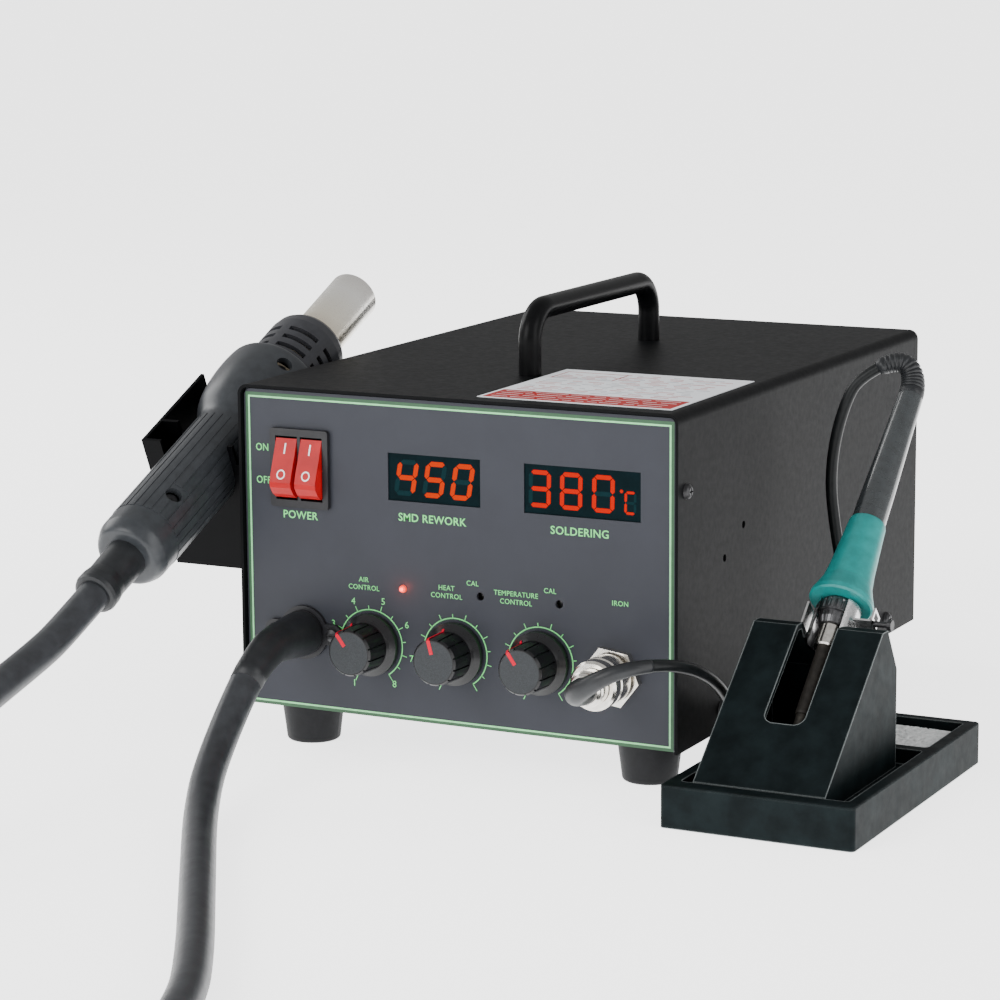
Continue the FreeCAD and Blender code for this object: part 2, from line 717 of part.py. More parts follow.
# ---- iron stand -------------------------------------------------------------------------------

def stand_tray():
    x0, x1, y0, y1 = TRAY
    body = block(x0, x1, y0, y1, 0, TRAY_H)
    body = rounded(body, 2.0, V(0, 0, 1))
    top = [e for e in body.Edges if abs(e.CenterOfMass.z - TRAY_H) < 0.01]
    body = body.makeFillet(0.8, top)
    moat = block(x0 + TRAY_RIM, x1 - TRAY_RIM, MOAT_Y[0], MOAT_Y[1], MOAT_Z, TRAY_H + 1)
    well = block(x0 + TRAY_RIM, x1 - TRAY_RIM, SPONGE_Y[0], SPONGE_Y[1], 3.0, TRAY_H + 1)
    return body.cut(rounded(moat, 2.0, V(0, 0, 1))).cut(rounded(well, 2.0, V(0, 0, 1)))


def tower_outline(inset):
    """Side outline of the stand's tower, from the front foot over the top to the back."""
    top = TOWER_TOP
    return [(-30.5 + inset, MOAT_Z), (-30.5 + inset, TRAY_H), (26.0 + 0.3 * inset, top - inset),
            (31.0 - 0.3 * inset, top - inset), (41.0 - inset, top - 16.5 - 0.5 * inset),
            (41.0 - inset, MOAT_Z)]


def stand_tower():
    x0, x1 = TOWER_X
    wall = 2.4
    outer = extruded_yz(tower_outline(0.0), x0, x1)
    inner = extruded_yz(tower_outline(wall), x0 + wall, x1 - wall)
    shell = outer.cut(inner).cut(block(x0 + wall, x1 - wall, -28, 38.5, MOAT_Z - 1, MOAT_Z + 2))
    middle = SLOT_X - IRON_DATUM.x
    slot = block(middle - SLOT_HALF_W, middle + SLOT_HALF_W, -56.4, 40.0, 0.0, 40.0)
    slot = rounded(slot, 4.0, V(0, 0, 1), lambda c: c.y < 0)
    mouth = rod(CLIP_R, (0, -30, 0), (0, 30, 0))
    return shell.cut(iron_placed(slot.fuse(mouth)))


def stand_clip():
    """Sprung sleeve that receives the iron's collar, open towards the slot."""
    ring = sleeve([(-14.0, CLIP_R), (3.4, CLIP_R)], [(-15.0, CLIP_R - 0.9), (4.0, CLIP_R - 0.9)])
    ring = ring.cut(block(-5.4, 5.4, -20, 10, 0, 12))
    return iron_placed(ring.cut(block(-12, 12, -2.5, 10, -12, -3.5)))


def stand_sponge():
    x0, x1 = TRAY[0] + TRAY_RIM + 1, TRAY[1] - TRAY_RIM - 1
    pad = block(x0, x1, SPONGE_Y[0] + 1, SPONGE_Y[1] - 1, 3.0, 13.5)
    return rounded(pad, 3.0, V(0, 0, 1))


# ---- cords ------------------------------------------------------------------------------------

# Air hose, from the port's boot to the gun's boot: down to the bench, forward along it, round one
# wide bend in front of the box and back up to the gun.
HOSE_ROUTE = [
    (-66.1, -24.0, 47.5), (-66.0, -36.0, 43.0), (-65.0, -50.0, 33.5), (-62.0, -68.0, 22.0),
    (-55.0, -90.0, 12.8), (-44.5, -111.0, 7.6), (-31.5, -133.5, 6.3), (-12.0, -165.5, 6.3),
    (12.0, -205.0, 6.3), (37.0, -246.0, 6.3), (59.5, -286.0, 6.3), (74.0, -328.0, 6.3),
    (66.0, -371.0, 6.3), (34.0, -401.0, 6.3), (-9.0, -409.0, 6.3), (-51.0, -394.0, 6.3),
    (-81.0, -361.0, 6.3), (-98.0, -318.0, 7.8), (-107.5, -273.0, 13.5), (-113.5, -229.0, 22.5),
    (-117.0, -185.0, 33.5), (-117.8, -142.0, 46.0), (-117.8, -103.0, 56.0), (-117.8, -89.66, 60.74),
    (-117.8, -67.36, 70.76)]

# Iron cord, from the plug to the put-away coil under the box, and from the coil to the iron.
IRON_CORD_TO_COIL = [
    (66.4, -24.0, 43.2), (66.8, -33.5, 43.6), (73.5, -40.5, 48.0), (84.0, -41.5, 54.8),
    (94.5, -36.0, 57.8), (101.5, -24.0, 56.6), (104.5, -8.0, 51.5), (104.8, 10.0, 43.0),
    (102.5, 28.0, 31.0), (99.8, 46.0, 17.0), (98.2, 64.0, 6.0), (94.5, 84.0, 2.5),
    (85.0, 103.0, 2.4), (67.0, 118.0, 2.4), (48.0, 122.8, 2.4), (35.0, 122.7, 2.4)]
IRON_CORD_FROM_COIL = [
    (35.0, 177.3, 7.2), (50.0, 177.0, 6.8), (68.0, 173.0, 3.8), (84.0, 162.0, 2.4),
    (96.0, 145.0, 2.4), (106.0, 129.0, 3.2), (114.0, 118.5, 11.0), (117.0, 113.5, 27.0),
    (117.3, 112.0, 46.0), (115.2, 112.0, 66.0), (111.6, 112.4, 83.5), (109.0, 113.2, 101.0),
    (110.0, 114.6, 118.0), (113.8, 116.3, 133.5), (118.6, 118.0, 143.2), (127.1, 120.35, 147.9)]
COIL_CENTRE = (35.0, 150.0)
COIL_R = 25.0


def bent_tube(points, radius, name):
    """Round tube along straight runs joined by tangent arcs; prints its radii and volume check."""
    edges = []
    length = 0.0
    radii = []
    here = points[0]
    for before, corner, after in zip(points, points[1:], points[2:]):
        back = (before - corner)
        ahead = (after - corner)
        reach = ARC_SHARE * min(back.Length, ahead.Length)
        back.normalize()
        ahead.normalize()
        half_turn = (math.pi - back.getAngle(ahead)) / 2
        arc_r = reach / math.tan(half_turn)
        start, end = corner + back * reach, corner + ahead * reach
        to_centre = (back + ahead).normalize()
        middle = corner + to_centre * (arc_r / math.cos(half_turn) - arc_r)
        edges.append(Part.LineSegment(here, start).toShape())
        edges.append(Part.Arc(start, middle, end).toShape())
        length += (start - here).Length + arc_r * 2 * half_turn
        radii.append(arc_r)
        here = end
    edges.append(Part.LineSegment(here, points[-1]).toShape())
    length += (points[-1] - here).Length
    path = Part.Wire(edges)
    ring = Part.Wire([Part.makeCircle(radius, points[0], points[1] - points[0])])
    tube = path.makePipeShell([ring], True, True)
    ratio = tube.Volume / (math.pi * radius ** 2 * length)
    print("%s: length %.1f, volume ratio %.4f, valid %s" % (name, length, ratio, tube.isValid()))
    print("  radii:", " ".join("%.1f" % r for r in radii))
    return tube


def hose():
    return bent_tube([V(*p) for p in HOSE_ROUTE], HOSE_R, "hose")


def iron_cord():
    return [bent_tube([V(*p) for p in IRON_CORD_TO_COIL], CORD_R, "iron cord, plug end"),
            bent_tube([V(*p) for p in IRON_CORD_FROM_COIL], CORD_R, "iron cord, iron end")]


def cord_coil():
    x, y = COIL_CENTRE
    outer, inner = COIL_R + 2 * CORD_R, COIL_R - 2 * CORD_R
    ring = rod(outer, (x, y, 0.1), (x, y, 9.5))
    return ring.cut(rod(inner, (x, y, -1), (x, y, 12)))


# ---- assembly ---------------------------------------------------------------------------------

def all_nodes():
    nodes = {
        "chassis": chassis(),
        "cover": cover(),
        "cover_screws": cover_screws(),
        "feet": feet(),
        "foot_screws": foot_screws(),
        "carry_handle": carry_handle(),
        "handle_screws": handle_screws(),
        "top_label": top_label(),
        "mains_inlet": mains_inlet(),
        "switch_bezel": switch_bezel(),
        "display_windows": display_windows(),
        "display_modules": display_modules(),
        "display_board": display_board(),
        "indicator_led": indicator_led(),
        "panel_controls": panel_controls(),
        "control_board": control_board(),
        "iron_socket": iron_socket(),
        "socket_nut": socket_nut(),
        "plug_body": plug_body(),
        "coupling_ring": coupling_ring(),
        "hose_flange": hose_flange(),
        "flange_screws": flange_screws(),
        "port_boot": port_boot(),
        "air_tube": air_tube(),
        "air_pump": air_pump(),
        "pump_mounts": pump_mounts(),
        "transformer_core": transformer_core(),
        "transformer_coil": transformer_coil(),
        "gun_holder": gun_holder(),
        "holder_screws": holder_screws(),
        "gun_shell_front": gun_shell(1),
        "gun_shell_back": gun_shell(-1),
        "gun_collar": gun_collar(),
        "nozzle_tube": nozzle_tube(),
        "heater_core": heater_core(),
        "gun_boot": gun_boot(),
        "iron_handle": iron_handle(),
        "iron_grip": iron_grip(),
        "iron_collar": iron_collar(),
        "iron_nut": iron_nut(),
        "iron_barrel": iron_barrel(),
        "iron_tip": iron_tip(),
        "iron_strain_relief": iron_strain_relief(),
        "stand_tray": stand_tray(),
        "stand_tower": stand_tower(),
        "stand_clip": stand_clip(),
        "stand_sponge": stand_sponge(),
        "hose": hose(),
        "iron_cord": iron_cord(),
        "cord_coil": cord_coil(),
    }
    for name, x in rocker_centres():
        nodes["rocker_" + name] = rocker(x)
    for name, x in DIALS:
        nodes["knob_" + name] = knob(x)
        nodes["shaft_" + name] = shaft(x)
    for name, (x, z) in zip(("left", "right"), CAL_HOLES):
        nodes["trimmer_" + name] = trimmer_rotor(x, z)
    return nodes


def write_node(name, shape):
    solids = []
    for item in shape if isinstance(shape, list) else [shape]:
        solids += item.Solids
    whole = solids[0] if len(solids) == 1 else Part.makeCompound(solids)
    whole.translate(V(-ORIGIN_X, -ORIGIN_Y, 0))
    if not whole.isValid():
        print("not valid:", name)
    whole.exportStep("parts/%s.step" % name)
    return whole


def main():
    os.makedirs("parts", exist_ok=True)
    body = []
    for name, shape in all_nodes().items():
        saved = write_node(name, shape)
        if name not in ("hose", "iron_cord", "cord_coil"):
            body.append(saved)
    limits = Part.makeCompound(body).BoundBox
    print("without cords: x %.2f %.2f  y %.2f %.2f  z %.2f %.2f" %
          (limits.XMin, limits.XMax, limits.YMin, limits.YMax, limits.ZMin, limits.ZMax))


main()
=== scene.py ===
import bpy
import math
import random
from mathutils import Matrix, Vector, kdtree


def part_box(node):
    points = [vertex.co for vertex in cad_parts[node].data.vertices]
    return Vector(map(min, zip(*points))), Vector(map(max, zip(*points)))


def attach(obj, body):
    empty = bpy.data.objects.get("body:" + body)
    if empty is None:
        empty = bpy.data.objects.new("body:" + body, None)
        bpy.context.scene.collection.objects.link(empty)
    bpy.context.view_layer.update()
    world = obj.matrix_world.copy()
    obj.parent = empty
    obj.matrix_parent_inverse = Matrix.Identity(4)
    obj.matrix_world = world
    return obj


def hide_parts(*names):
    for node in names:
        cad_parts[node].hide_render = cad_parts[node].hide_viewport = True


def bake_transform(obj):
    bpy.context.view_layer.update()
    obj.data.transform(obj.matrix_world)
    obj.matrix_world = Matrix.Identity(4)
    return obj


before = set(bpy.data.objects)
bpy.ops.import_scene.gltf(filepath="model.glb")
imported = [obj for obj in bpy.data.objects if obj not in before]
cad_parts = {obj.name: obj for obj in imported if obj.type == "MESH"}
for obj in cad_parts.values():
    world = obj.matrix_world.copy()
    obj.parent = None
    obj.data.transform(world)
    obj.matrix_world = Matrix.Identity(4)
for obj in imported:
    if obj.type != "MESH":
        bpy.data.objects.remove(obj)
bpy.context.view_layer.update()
random.seed(7)

# Working frame of this file, in millimetres: x = 0 is the middle of the box, y = 0 the front edge of
# its cover and z = 0 the bench.  at() turns it into the row frame, in metres.
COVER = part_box("cover")
SHIFT = Vector(((COVER[0][0] + COVER[1][0]) / 2, COVER[0][1], 0.0))


def at(x, y, z):
    return Vector((x, y, z)) / 1000 + SHIFT


def box_mm(node):
    low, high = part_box(node)
    return (Vector(low) - SHIFT) * 1000, (Vector(high) - SHIFT) * 1000


# ---- camera -----------------------------------------------------------------------------------

CAMERA_TURN = (26.888, 10.478, -0.394)     # round to the right, up and roll, in degrees
CAMERA_PLACE = (573.86, -1091.17, 333.09)
LENS, SENSOR_WIDTH = 119.35, 36
FARTHEST_SEEN = 200


def add_camera():
    azimuth, height, roll = (math.radians(angle) for angle in CAMERA_TURN)
    back = Vector((math.sin(azimuth) * math.cos(height), -math.cos(azimuth) * math.cos(height),
                   math.sin(height)))
    right = Vector((math.cos(azimuth), math.sin(azimuth), 0))
    up = back.cross(right)
    x_axis = math.cos(roll) * right + math.sin(roll) * up
    y_axis = -math.sin(roll) * right + math.cos(roll) * up
    data = bpy.data.cameras.new("camera")
    data.lens = LENS
    data.sensor_width = SENSOR_WIDTH
    data.clip_end = FARTHEST_SEEN
    camera = bpy.data.objects.new("camera", data)
    bpy.context.scene.collection.objects.link(camera)
    turn = Matrix((x_axis, y_axis, back)).transposed().to_4x4()
    camera.matrix_world = Matrix.Translation(at(*CAMERA_PLACE)) @ turn
    bpy.context.scene.camera = camera


# ---- finishes ---------------------------------------------------------------------------------

# Sockets of a colour Mix node, which share their names with its other kinds.
MIX_FACTOR, MIX_A, MIX_B, MIX_RESULT = 0, 6, 7, 2


class Finish:
    """A procedural finish built on one Principled shader."""

    def __init__(self, name, colour, rough, metal=0.0):
        self.made = bpy.data.materials.new(name)
        self.made.use_nodes = True
        self.tree = self.made.node_tree
        self.shader = self.tree.nodes["Principled BSDF"]
        self.shader.inputs["Base Color"].default_value = (*colour, 1)
        self.shader.inputs["Roughness"].default_value = rough
        self.shader.inputs["Metallic"].default_value = metal
        self.colour = colour
        self.rough = rough
        self.base = None
        self.normal = None

    def node(self, kind, **inputs):
        made = self.tree.nodes.new(kind)
        for key, value in inputs.items():
            made.inputs[key.replace("_", " ")].default_value = value
        return made

    def link(self, out_node, out_name, in_node, in_name):
        self.tree.links.new(out_node.outputs[out_name], in_node.inputs[in_name])

    def place(self):
        return self.node("ShaderNodeTexCoord"), "Object"

    def noise(self, scale, detail=4.0, stretch=None):
        source, name = self.place()
        noise = self.node("ShaderNodeTexNoise", Scale=scale, Detail=detail, Roughness=0.6)
        if stretch:
            mapping = self.node("ShaderNodeMapping")
            mapping.inputs["Scale"].default_value = stretch
            self.link(source, name, mapping, "Vector")
            source, name = mapping, "Vector"
        self.link(source, name, noise, "Vector")
        return noise

    def mottle(self, scale, amount):
        """Lighter and darker patches of the base colour."""
        noise = self.noise(scale)
        ramp = self.node("ShaderNodeValToRGB")
        ramp.color_ramp.elements[0].position = 0.35
        ramp.color_ramp.elements[1].position = 0.68
        ramp.color_ramp.elements[0].color = (*[c * (1 - amount) for c in self.colour], 1)
        ramp.color_ramp.elements[1].color = (*[min(1, c * (1 + amount)) for c in self.colour], 1)
        self.link(noise, "Fac", ramp, "Fac")
        self.link(ramp, "Color", self.shader, "Base Color")
        self.base = ramp
        return self

    def uneven(self, scale, amount):
        """Duller and shinier patches."""
        noise = self.noise(scale, 3.0)
        span = self.node("ShaderNodeMapRange")
        span.inputs["To Min"].default_value = max(0.02, self.rough - amount)
        span.inputs["To Max"].default_value = min(1, self.rough + amount)
        self.link(noise, "Fac", span, "Value")
        self.link(span, "Result", self.shader, "Roughness")
        return self

    def grain(self, scale, depth, strength=0.5, stretch=None):
        """Fine relief; depth in millimetres."""
        noise = self.noise(scale, 2.0, stretch)
        bump = self.node("ShaderNodeBump", Strength=strength, Distance=depth / 1000)
        self.link(noise, "Fac", bump, "Height")
        if self.normal:
            self.link(self.normal, "Normal", bump, "Normal")
        self.link(bump, "Normal", self.shader, "Normal")
        self.normal = bump
        return self

    def painted_edge_highlight(self, colour, width, strength):
        """Paler edges: a painted highlight, standing in for the light that the worn, rounded edges catch;
        width in millimetres; the bevelled normal differs from the true one there.
        """
        bevel = self.node("ShaderNodeBevel", Radius=width / 1000)
        bevel.samples = 6
        true = self.node("ShaderNodeNewGeometry")
        dot = self.tree.nodes.new("ShaderNodeVectorMath")
        dot.operation = "DOT_PRODUCT"
        self.tree.links.new(bevel.outputs["Normal"], dot.inputs[0])
        self.tree.links.new(true.outputs["Normal"], dot.inputs[1])
        span = self.node("ShaderNodeMapRange")
        span.inputs["From Min"].default_value = 0.99
        span.inputs["From Max"].default_value = 0.86
        span.inputs["To Max"].default_value = strength
        self.link(dot, "Value", span, "Value")
        mix = self.tree.nodes.new("ShaderNodeMix")
        mix.data_type = "RGBA"
        mix.inputs[MIX_B].default_value = (*colour, 1)
        self.tree.links.new(span.outputs["Result"], mix.inputs[MIX_FACTOR])
        self.tree.links.new(self.base.outputs["Color"], mix.inputs[MIX_A])
        self.tree.links.new(mix.outputs[MIX_RESULT], self.shader.inputs["Base Color"])
        return self

    def shine(self, level):
        self.shader.inputs["Specular IOR Level"].default_value = level
        return self

    def coated(self, weight, rough=0.15):
        self.shader.inputs["Coat Weight"].default_value = weight
        self.shader.inputs["Coat Roughness"].default_value = rough
        return self

    def glow(self, colour, strength):
        self.shader.inputs["Emission Color"].default_value = (*colour, 1)
        self.shader.inputs["Emission Strength"].default_value = strength
        return self


GUN_TAIL = at(-117.8, -47.7, 79.6)
GUN_TILT = math.radians(24.2)
IRON_DATUM = at(140.4, 40.5, 65.8)
IRON_TILT = math.radians(43.0)
TINT_AND_HIGHLIGHT_START, TINT_AND_HIGHLIGHT_END = 0.158, 0.201         # along the gun's axis, in metres


def heat_tint_and_highlight(base, tilt):
    """Steel tube: straw heat tint near the guard, a near-white band that is a painted highlight, and bare grey
    steel towards its mouth.
    """
    steel = Finish("nozzle_steel", (0.9, 0.87, 0.8), 0.30, 1.0).mottle(500, 0.12).uneven(900, 0.1)
    steel.grain(2500, 0.02, 0.3)
    source, name = steel.place()
    mapping = steel.node("ShaderNodeMapping")
    turn = Matrix.Rotation(-tilt, 3, "X")
    mapping.inputs["Rotation"].default_value = (-tilt, 0, 0)
    mapping.inputs["Location"].default_value = -(turn @ base)
    steel.link(source, name, mapping, "Vector")
    parts = steel.node("ShaderNodeSeparateXYZ")
    steel.link(mapping, "Vector", parts, "Vector")
    span = steel.node("ShaderNodeMapRange")
    span.inputs["From Min"].default_value = TINT_AND_HIGHLIGHT_START
    span.inputs["From Max"].default_value = TINT_AND_HIGHLIGHT_END
    steel.link(parts, "Y", span, "Value")
    ramp = steel.node("ShaderNodeValToRGB")
    # Straw heat tint near the guard is real; the near-white stop at 0.75 is a painted highlight.
    stops = ((0.0, (0.70, 0.60, 0.45)), (0.3, (0.93, 0.87, 0.74)), (0.75, (0.97, 0.95, 0.90)),
             (1.0, (0.80, 0.77, 0.73)))
    elements = ramp.color_ramp.elements
    elements[0].color = (*stops[0][1], 1)
    elements[1].position = stops[-1][0]
    elements[1].color = (*stops[-1][1], 1)
    for place, colour in stops[1:-1]:
        elements.new(place).color = (*colour, 1)
    steel.link(span, "Result", ramp, "Fac")
    steel.link(ramp, "Color", steel.shader, "Base Color")
    return steel


def finishes():
    f = {}
    f["panel"] = Finish("panel_paint", (0.027, 0.029, 0.037), 0.45).mottle(60, 0.05)
    f["panel"].uneven(300, 0.05).grain(3500, 0.03, 0.25).shine(0.2)
    f["cover"] = Finish("cover_paint", (0.0036, 0.0038, 0.0043), 0.5).mottle(80, 0.12)
    f["cover"].uneven(400, 0.08).grain(2800, 0.05, 0.35).shine(0.05)
    f["satin_black"] = Finish("handle_paint", (0.0032, 0.0033, 0.0037), 0.32).mottle(200, 0.2)
    f["satin_black"].uneven(500, 0.08).grain(2500, 0.02, 0.2).shine(0.09)
    f["foot"] = Finish("foot_rubber", (0.0055, 0.0058, 0.007), 0.55).mottle(300, 0.2)
    f["foot"].uneven(800, 0.1).grain(3000, 0.03, 0.3).shine(0.18)
    f["screw"] = Finish("screw_steel", (0.35, 0.35, 0.36), 0.3, 1.0).mottle(900, 0.15).grain(4000, 0.01)
    # Black for the real black screws; on the gun's screws it is painted shade for their dark holes.
    f["black_screw"] = Finish("black_screw", (0.02, 0.02, 0.022), 0.42, 0.3).mottle(900, 0.3)
    f["black_screw"].grain(4000, 0.01)
    f["label"] = Finish("label_film", (0.92, 0.94, 0.97), 0.5).mottle(40, 0.03).shine(0.2)
    f["label"].grain(600, 0.02, 0.15)
    f["plastic"] = Finish("black_plastic", (0.012, 0.012, 0.014), 0.4).mottle(300, 0.15)
    f["plastic"].uneven(500, 0.08).grain(4000, 0.02, 0.3).shine(0.3)
    f["rocker"] = Finish("red_rocker", (0.36, 0.004, 0.006), 0.35).mottle(120, 0.15).shine(0.2)
    f["rocker"].grain(1500, 0.01, 0.1)
    f["rocker"].shader.inputs["Subsurface Weight"].default_value = 0.3
    f["rocker"].shader.inputs["Subsurface Radius"].default_value = (0.004, 0.001, 0.001)
    f["rocker"].glow((0.7, 0.004, 0.004), 0.06)
    f["window"] = Finish("display_window", (0.0015, 0.0075, 0.0095), 0.5).mottle(90, 0.2).shine(0.03)
    f["window"].grain(900, 0.01, 0.05)
    f["module"] = Finish("display_body", (0.05, 0.05, 0.05), 0.5).mottle(200, 0.1).grain(3000, 0.02)
    f["board"] = Finish("circuit_board", (0.02, 0.16, 0.06), 0.4).mottle(400, 0.3).coated(0.3)
    f["board"].grain(1500, 0.05, 0.4)
    f["led"] = Finish("red_led", (0.7, 0.08, 0.05), 0.3).mottle(900, 0.1).glow((1.0, 0.07, 0.03), 0.9)
    f["led"].grain(3000, 0.01, 0.1)
    f["knob"] = Finish("knob_plastic", (0.007, 0.007, 0.008), 0.3).mottle(400, 0.15)
    f["knob"].uneven(600, 0.08).grain(4500, 0.02, 0.35).shine(0.35)
    f["knob_face"] = Finish("knob_face", (0.030, 0.033, 0.036), 0.55).mottle(2500, 0.25)
    f["knob_face"].grain(5000, 0.03, 0.5).shine(0.2)
    f["shaft"] = Finish("shaft_steel", (0.5, 0.5, 0.5), 0.3, 1.0).mottle(700, 0.1).grain(3000, 0.01)
    f["plated"] = Finish("control_metal", (0.5, 0.48, 0.42), 0.35, 1.0).mottle(500, 0.15).grain(3000, 0.01)
    f["nickel"] = Finish("nickel", (0.74, 0.71, 0.66), 0.2, 1.0).mottle(500, 0.12).uneven(900, 0.1)
    f["nickel"].grain(2500, 0.02, 0.25)
    f["rubber"] = Finish("boot_rubber", (0.013, 0.0142, 0.016), 0.42).mottle(200, 0.2)
    f["rubber"].uneven(500, 0.1).grain(2500, 0.04, 0.3).shine(0.32)
    f["hose"] = Finish("hose_rubber", (0.030, 0.032, 0.036), 0.4).mottle(150, 0.25)
    f["hose"].uneven(300, 0.1).grain(1800, 0.05, 0.35).shine(0.32)
    f["cord"] = Finish("cord_rubber", (0.0065, 0.0075, 0.008), 0.34).mottle(250, 0.2)
    f["cord"].uneven(400, 0.08).grain(2500, 0.03, 0.3).shine(0.16)
    f["pump"] = Finish("pump_plastic", (0.25, 0.26, 0.28), 0.5).mottle(200, 0.1).grain(3000, 0.03)
    f["core"] = Finish("core_iron", (0.2, 0.2, 0.2), 0.5, 0.8).mottle(300, 0.2)
    f["core"].grain(400, 0.1, 0.5, (1, 40, 1))
    f["winding"] = Finish("coil_winding", (0.5, 0.35, 0.1), 0.5).mottle(200, 0.2)
    f["winding"].grain(300, 0.2, 0.5, (1, 1, 30))
    f["holder"] = Finish("holder_paint", (0.0010, 0.0011, 0.0015), 0.45).mottle(200, 0.2)
    f["holder"].uneven(400, 0.08).grain(2500, 0.03, 0.3).shine(0.04)
    f["gun"] = Finish("gun_plastic", (0.030, 0.031, 0.036), 0.36).mottle(250, 0.15)
    f["gun"].uneven(500, 0.08).grain(3500, 0.03, 0.35).shine(0.33)
    f["grip"] = Finish("gun_grip", (0.029, 0.032, 0.036), 0.34).mottle(250, 0.15)
    f["grip"].uneven(500, 0.08).grain(3500, 0.03, 0.35).shine(0.33)
    f["nozzle"] = heat_tint_and_highlight(GUN_TAIL, GUN_TILT)
    f["ceramic"] = Finish("ceramic", (0.68, 0.64, 0.58), 0.7).mottle(400, 0.12).grain(1500, 0.08)
    f["iron"] = Finish("iron_plastic", (0.024, 0.028, 0.030), 0.28).mottle(300, 0.2)
    f["iron"].uneven(400, 0.05).grain(2500, 0.01, 0.1).coated(0.6, 0.12)
    f["teal"] = Finish("grip_rubber", (0.003, 0.20, 0.19), 0.4).mottle(200, 0.15)
    f["teal"].uneven(500, 0.08).grain(2500, 0.04, 0.35)
    # The barrel's near-black colour is painted shade for the dark inside of the stand's slot, where it rests.
    f["dark_steel"] = Finish("barrel_steel_painted_shade", (0.022, 0.019, 0.016), 0.55, 0.5).mottle(500, 0.3)
    f["dark_steel"].grain(1500, 0.05, 0.5)
    f["tip"] = Finish("tip_plating", (0.05, 0.046, 0.04), 0.5, 0.8).mottle(700, 0.3).grain(2000, 0.04)
    f["stand"] = Finish("stand_plastic", (0.0062, 0.0098, 0.0107), 0.5).mottle(90, 0.35)
    # The stand's pale edge colour is a painted highlight for the light its rounded edges catch.
    f["stand"].uneven(200, 0.1).grain(900, 0.05, 0.35).shine(0.05).painted_edge_highlight((0.20, 0.22, 0.22), 0.9, 1.0)
    f["clip"] = Finish("clip_steel", (0.66, 0.66, 0.66), 0.22, 1.0).mottle(500, 0.12).uneven(900, 0.1)
    f["clip"].grain(2000, 0.02, 0.2)
    f["sponge"] = Finish("sponge_cellulose", (0.94, 0.94, 0.93), 0.95).mottle(350, 0.1)
    f["sponge"].grain(700, 0.35, 0.7)
    f["green"] = Finish("green_print", (0.13, 0.60, 0.17), 0.5).mottle(400, 0.08).grain(3000, 0.01)
    # The glow is painted light: it brightens the green print, which gives off no light.
    f["green"].glow((0.10, 0.55, 0.13), 0.08)
    f["pale_green"] = Finish("pale_green_line", (0.22, 0.62, 0.27), 0.5).mottle(400, 0.08)
    f["pale_green"].grain(3000, 0.01)
    f["deep_green"] = Finish("deep_green_line", (0.012, 0.07, 0.022), 0.5).mottle(400, 0.1)
    f["deep_green"].grain(3000, 0.01)
    f["white"] = Finish("white_print", (0.85, 0.82, 0.82), 0.45).mottle(400, 0.05).grain(3000, 0.01)
    f["red"] = Finish("red_print", (0.5, 0.003, 0.025), 0.5).shine(0.1).mottle(400, 0.08).grain(3000, 0.01)
    # The glow is painted light: it brightens the red print, which gives off no light.
    f["red"].glow((0.9, 0.004, 0.04), 0.12)
    f["red_band"] = Finish("red_band", (0.42, 0.008, 0.005), 0.5).mottle(200, 0.08).shine(0.2)
    f["grey_print"] = Finish("grey_print", (0.30, 0.32, 0.36), 0.45).mottle(400, 0.08)
    f["orange_lit"] = Finish("orange_segments", (0.2, 0.01, 0.0), 0.6).shine(0.0)
    f["orange_lit"].glow((1.0, 0.055, 0.0), 0.55).mottle(900, 0.05)
    f["red_lit"] = Finish("red_segments", (0.2, 0.003, 0.0), 0.6).shine(0.0)
    f["red_lit"].glow((1.0, 0.02, 0.0), 0.55).mottle(900, 0.05)
    f["unlit"] = Finish("unlit_segments", (0.003, 0.017, 0.02), 0.5).mottle(900, 0.05).shine(0.03)
    f["dark_knurl"] = Finish("dark_knurl", (0.14, 0.14, 0.145), 0.3, 0.9).mottle(500, 0.2)
    f["dark_knurl"].grain(2500, 0.02, 0.25)
    # Near-black painted shade for recesses: the screws' cross recesses and the slot in the clip's lug.
    f["hole"] = Finish("painted_recess_shade", (0.004, 0.004, 0.004), 0.6).mottle(900, 0.2)
    return f


NODE_FINISH = {
    "panel": ["chassis"], "cover": ["cover"], "satin_black": ["carry_handle"],
    "foot": ["feet", "pump_mounts"], "screw": ["foot_screws", "handle_screws"],
    "black_screw": ["flange_screws", "cover_screws", "holder_screws"], "label": ["top_label"],
    "plastic": ["mains_inlet", "switch_bezel", "hose_flange"],
    "rocker": ["rocker_left", "rocker_right"], "window": ["display_windows"],
    "module": ["display_modules"], "board": ["display_board", "control_board"],
    "led": ["indicator_led"], "knob": ["knob_air", "knob_heat", "knob_iron"],
    "shaft": ["shaft_air", "shaft_heat", "shaft_iron", "trimmer_left", "trimmer_right"],
    "plated": ["panel_controls"],
    "nickel": ["iron_socket", "socket_nut", "plug_body", "coupling_ring", "iron_nut"],
    "dark_knurl": ["iron_collar"],
    "rubber": ["gun_boot", "air_tube"], "pump": ["air_pump"],
    "core": ["transformer_core"], "winding": ["transformer_coil"], "holder": ["gun_holder"],
    "grip": ["gun_shell_front", "gun_shell_back"], "gun": ["gun_collar"], "nozzle": ["nozzle_tube"],
    "ceramic": ["heater_core"], "iron": ["iron_handle"], "teal": ["iron_grip"],
    "dark_steel": ["iron_barrel"], "tip": ["iron_tip"], "stand": ["stand_tray", "stand_tower"],
    "clip": ["stand_clip"],
}


def dress_cad(f):
    for name, nodes in NODE_FINISH.items():
        for node in nodes:
            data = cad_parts[node].data
            data.materials.clear()
            data.materials.append(f[name].made)


# ---- small builders ---------------------------------------------------------------------------

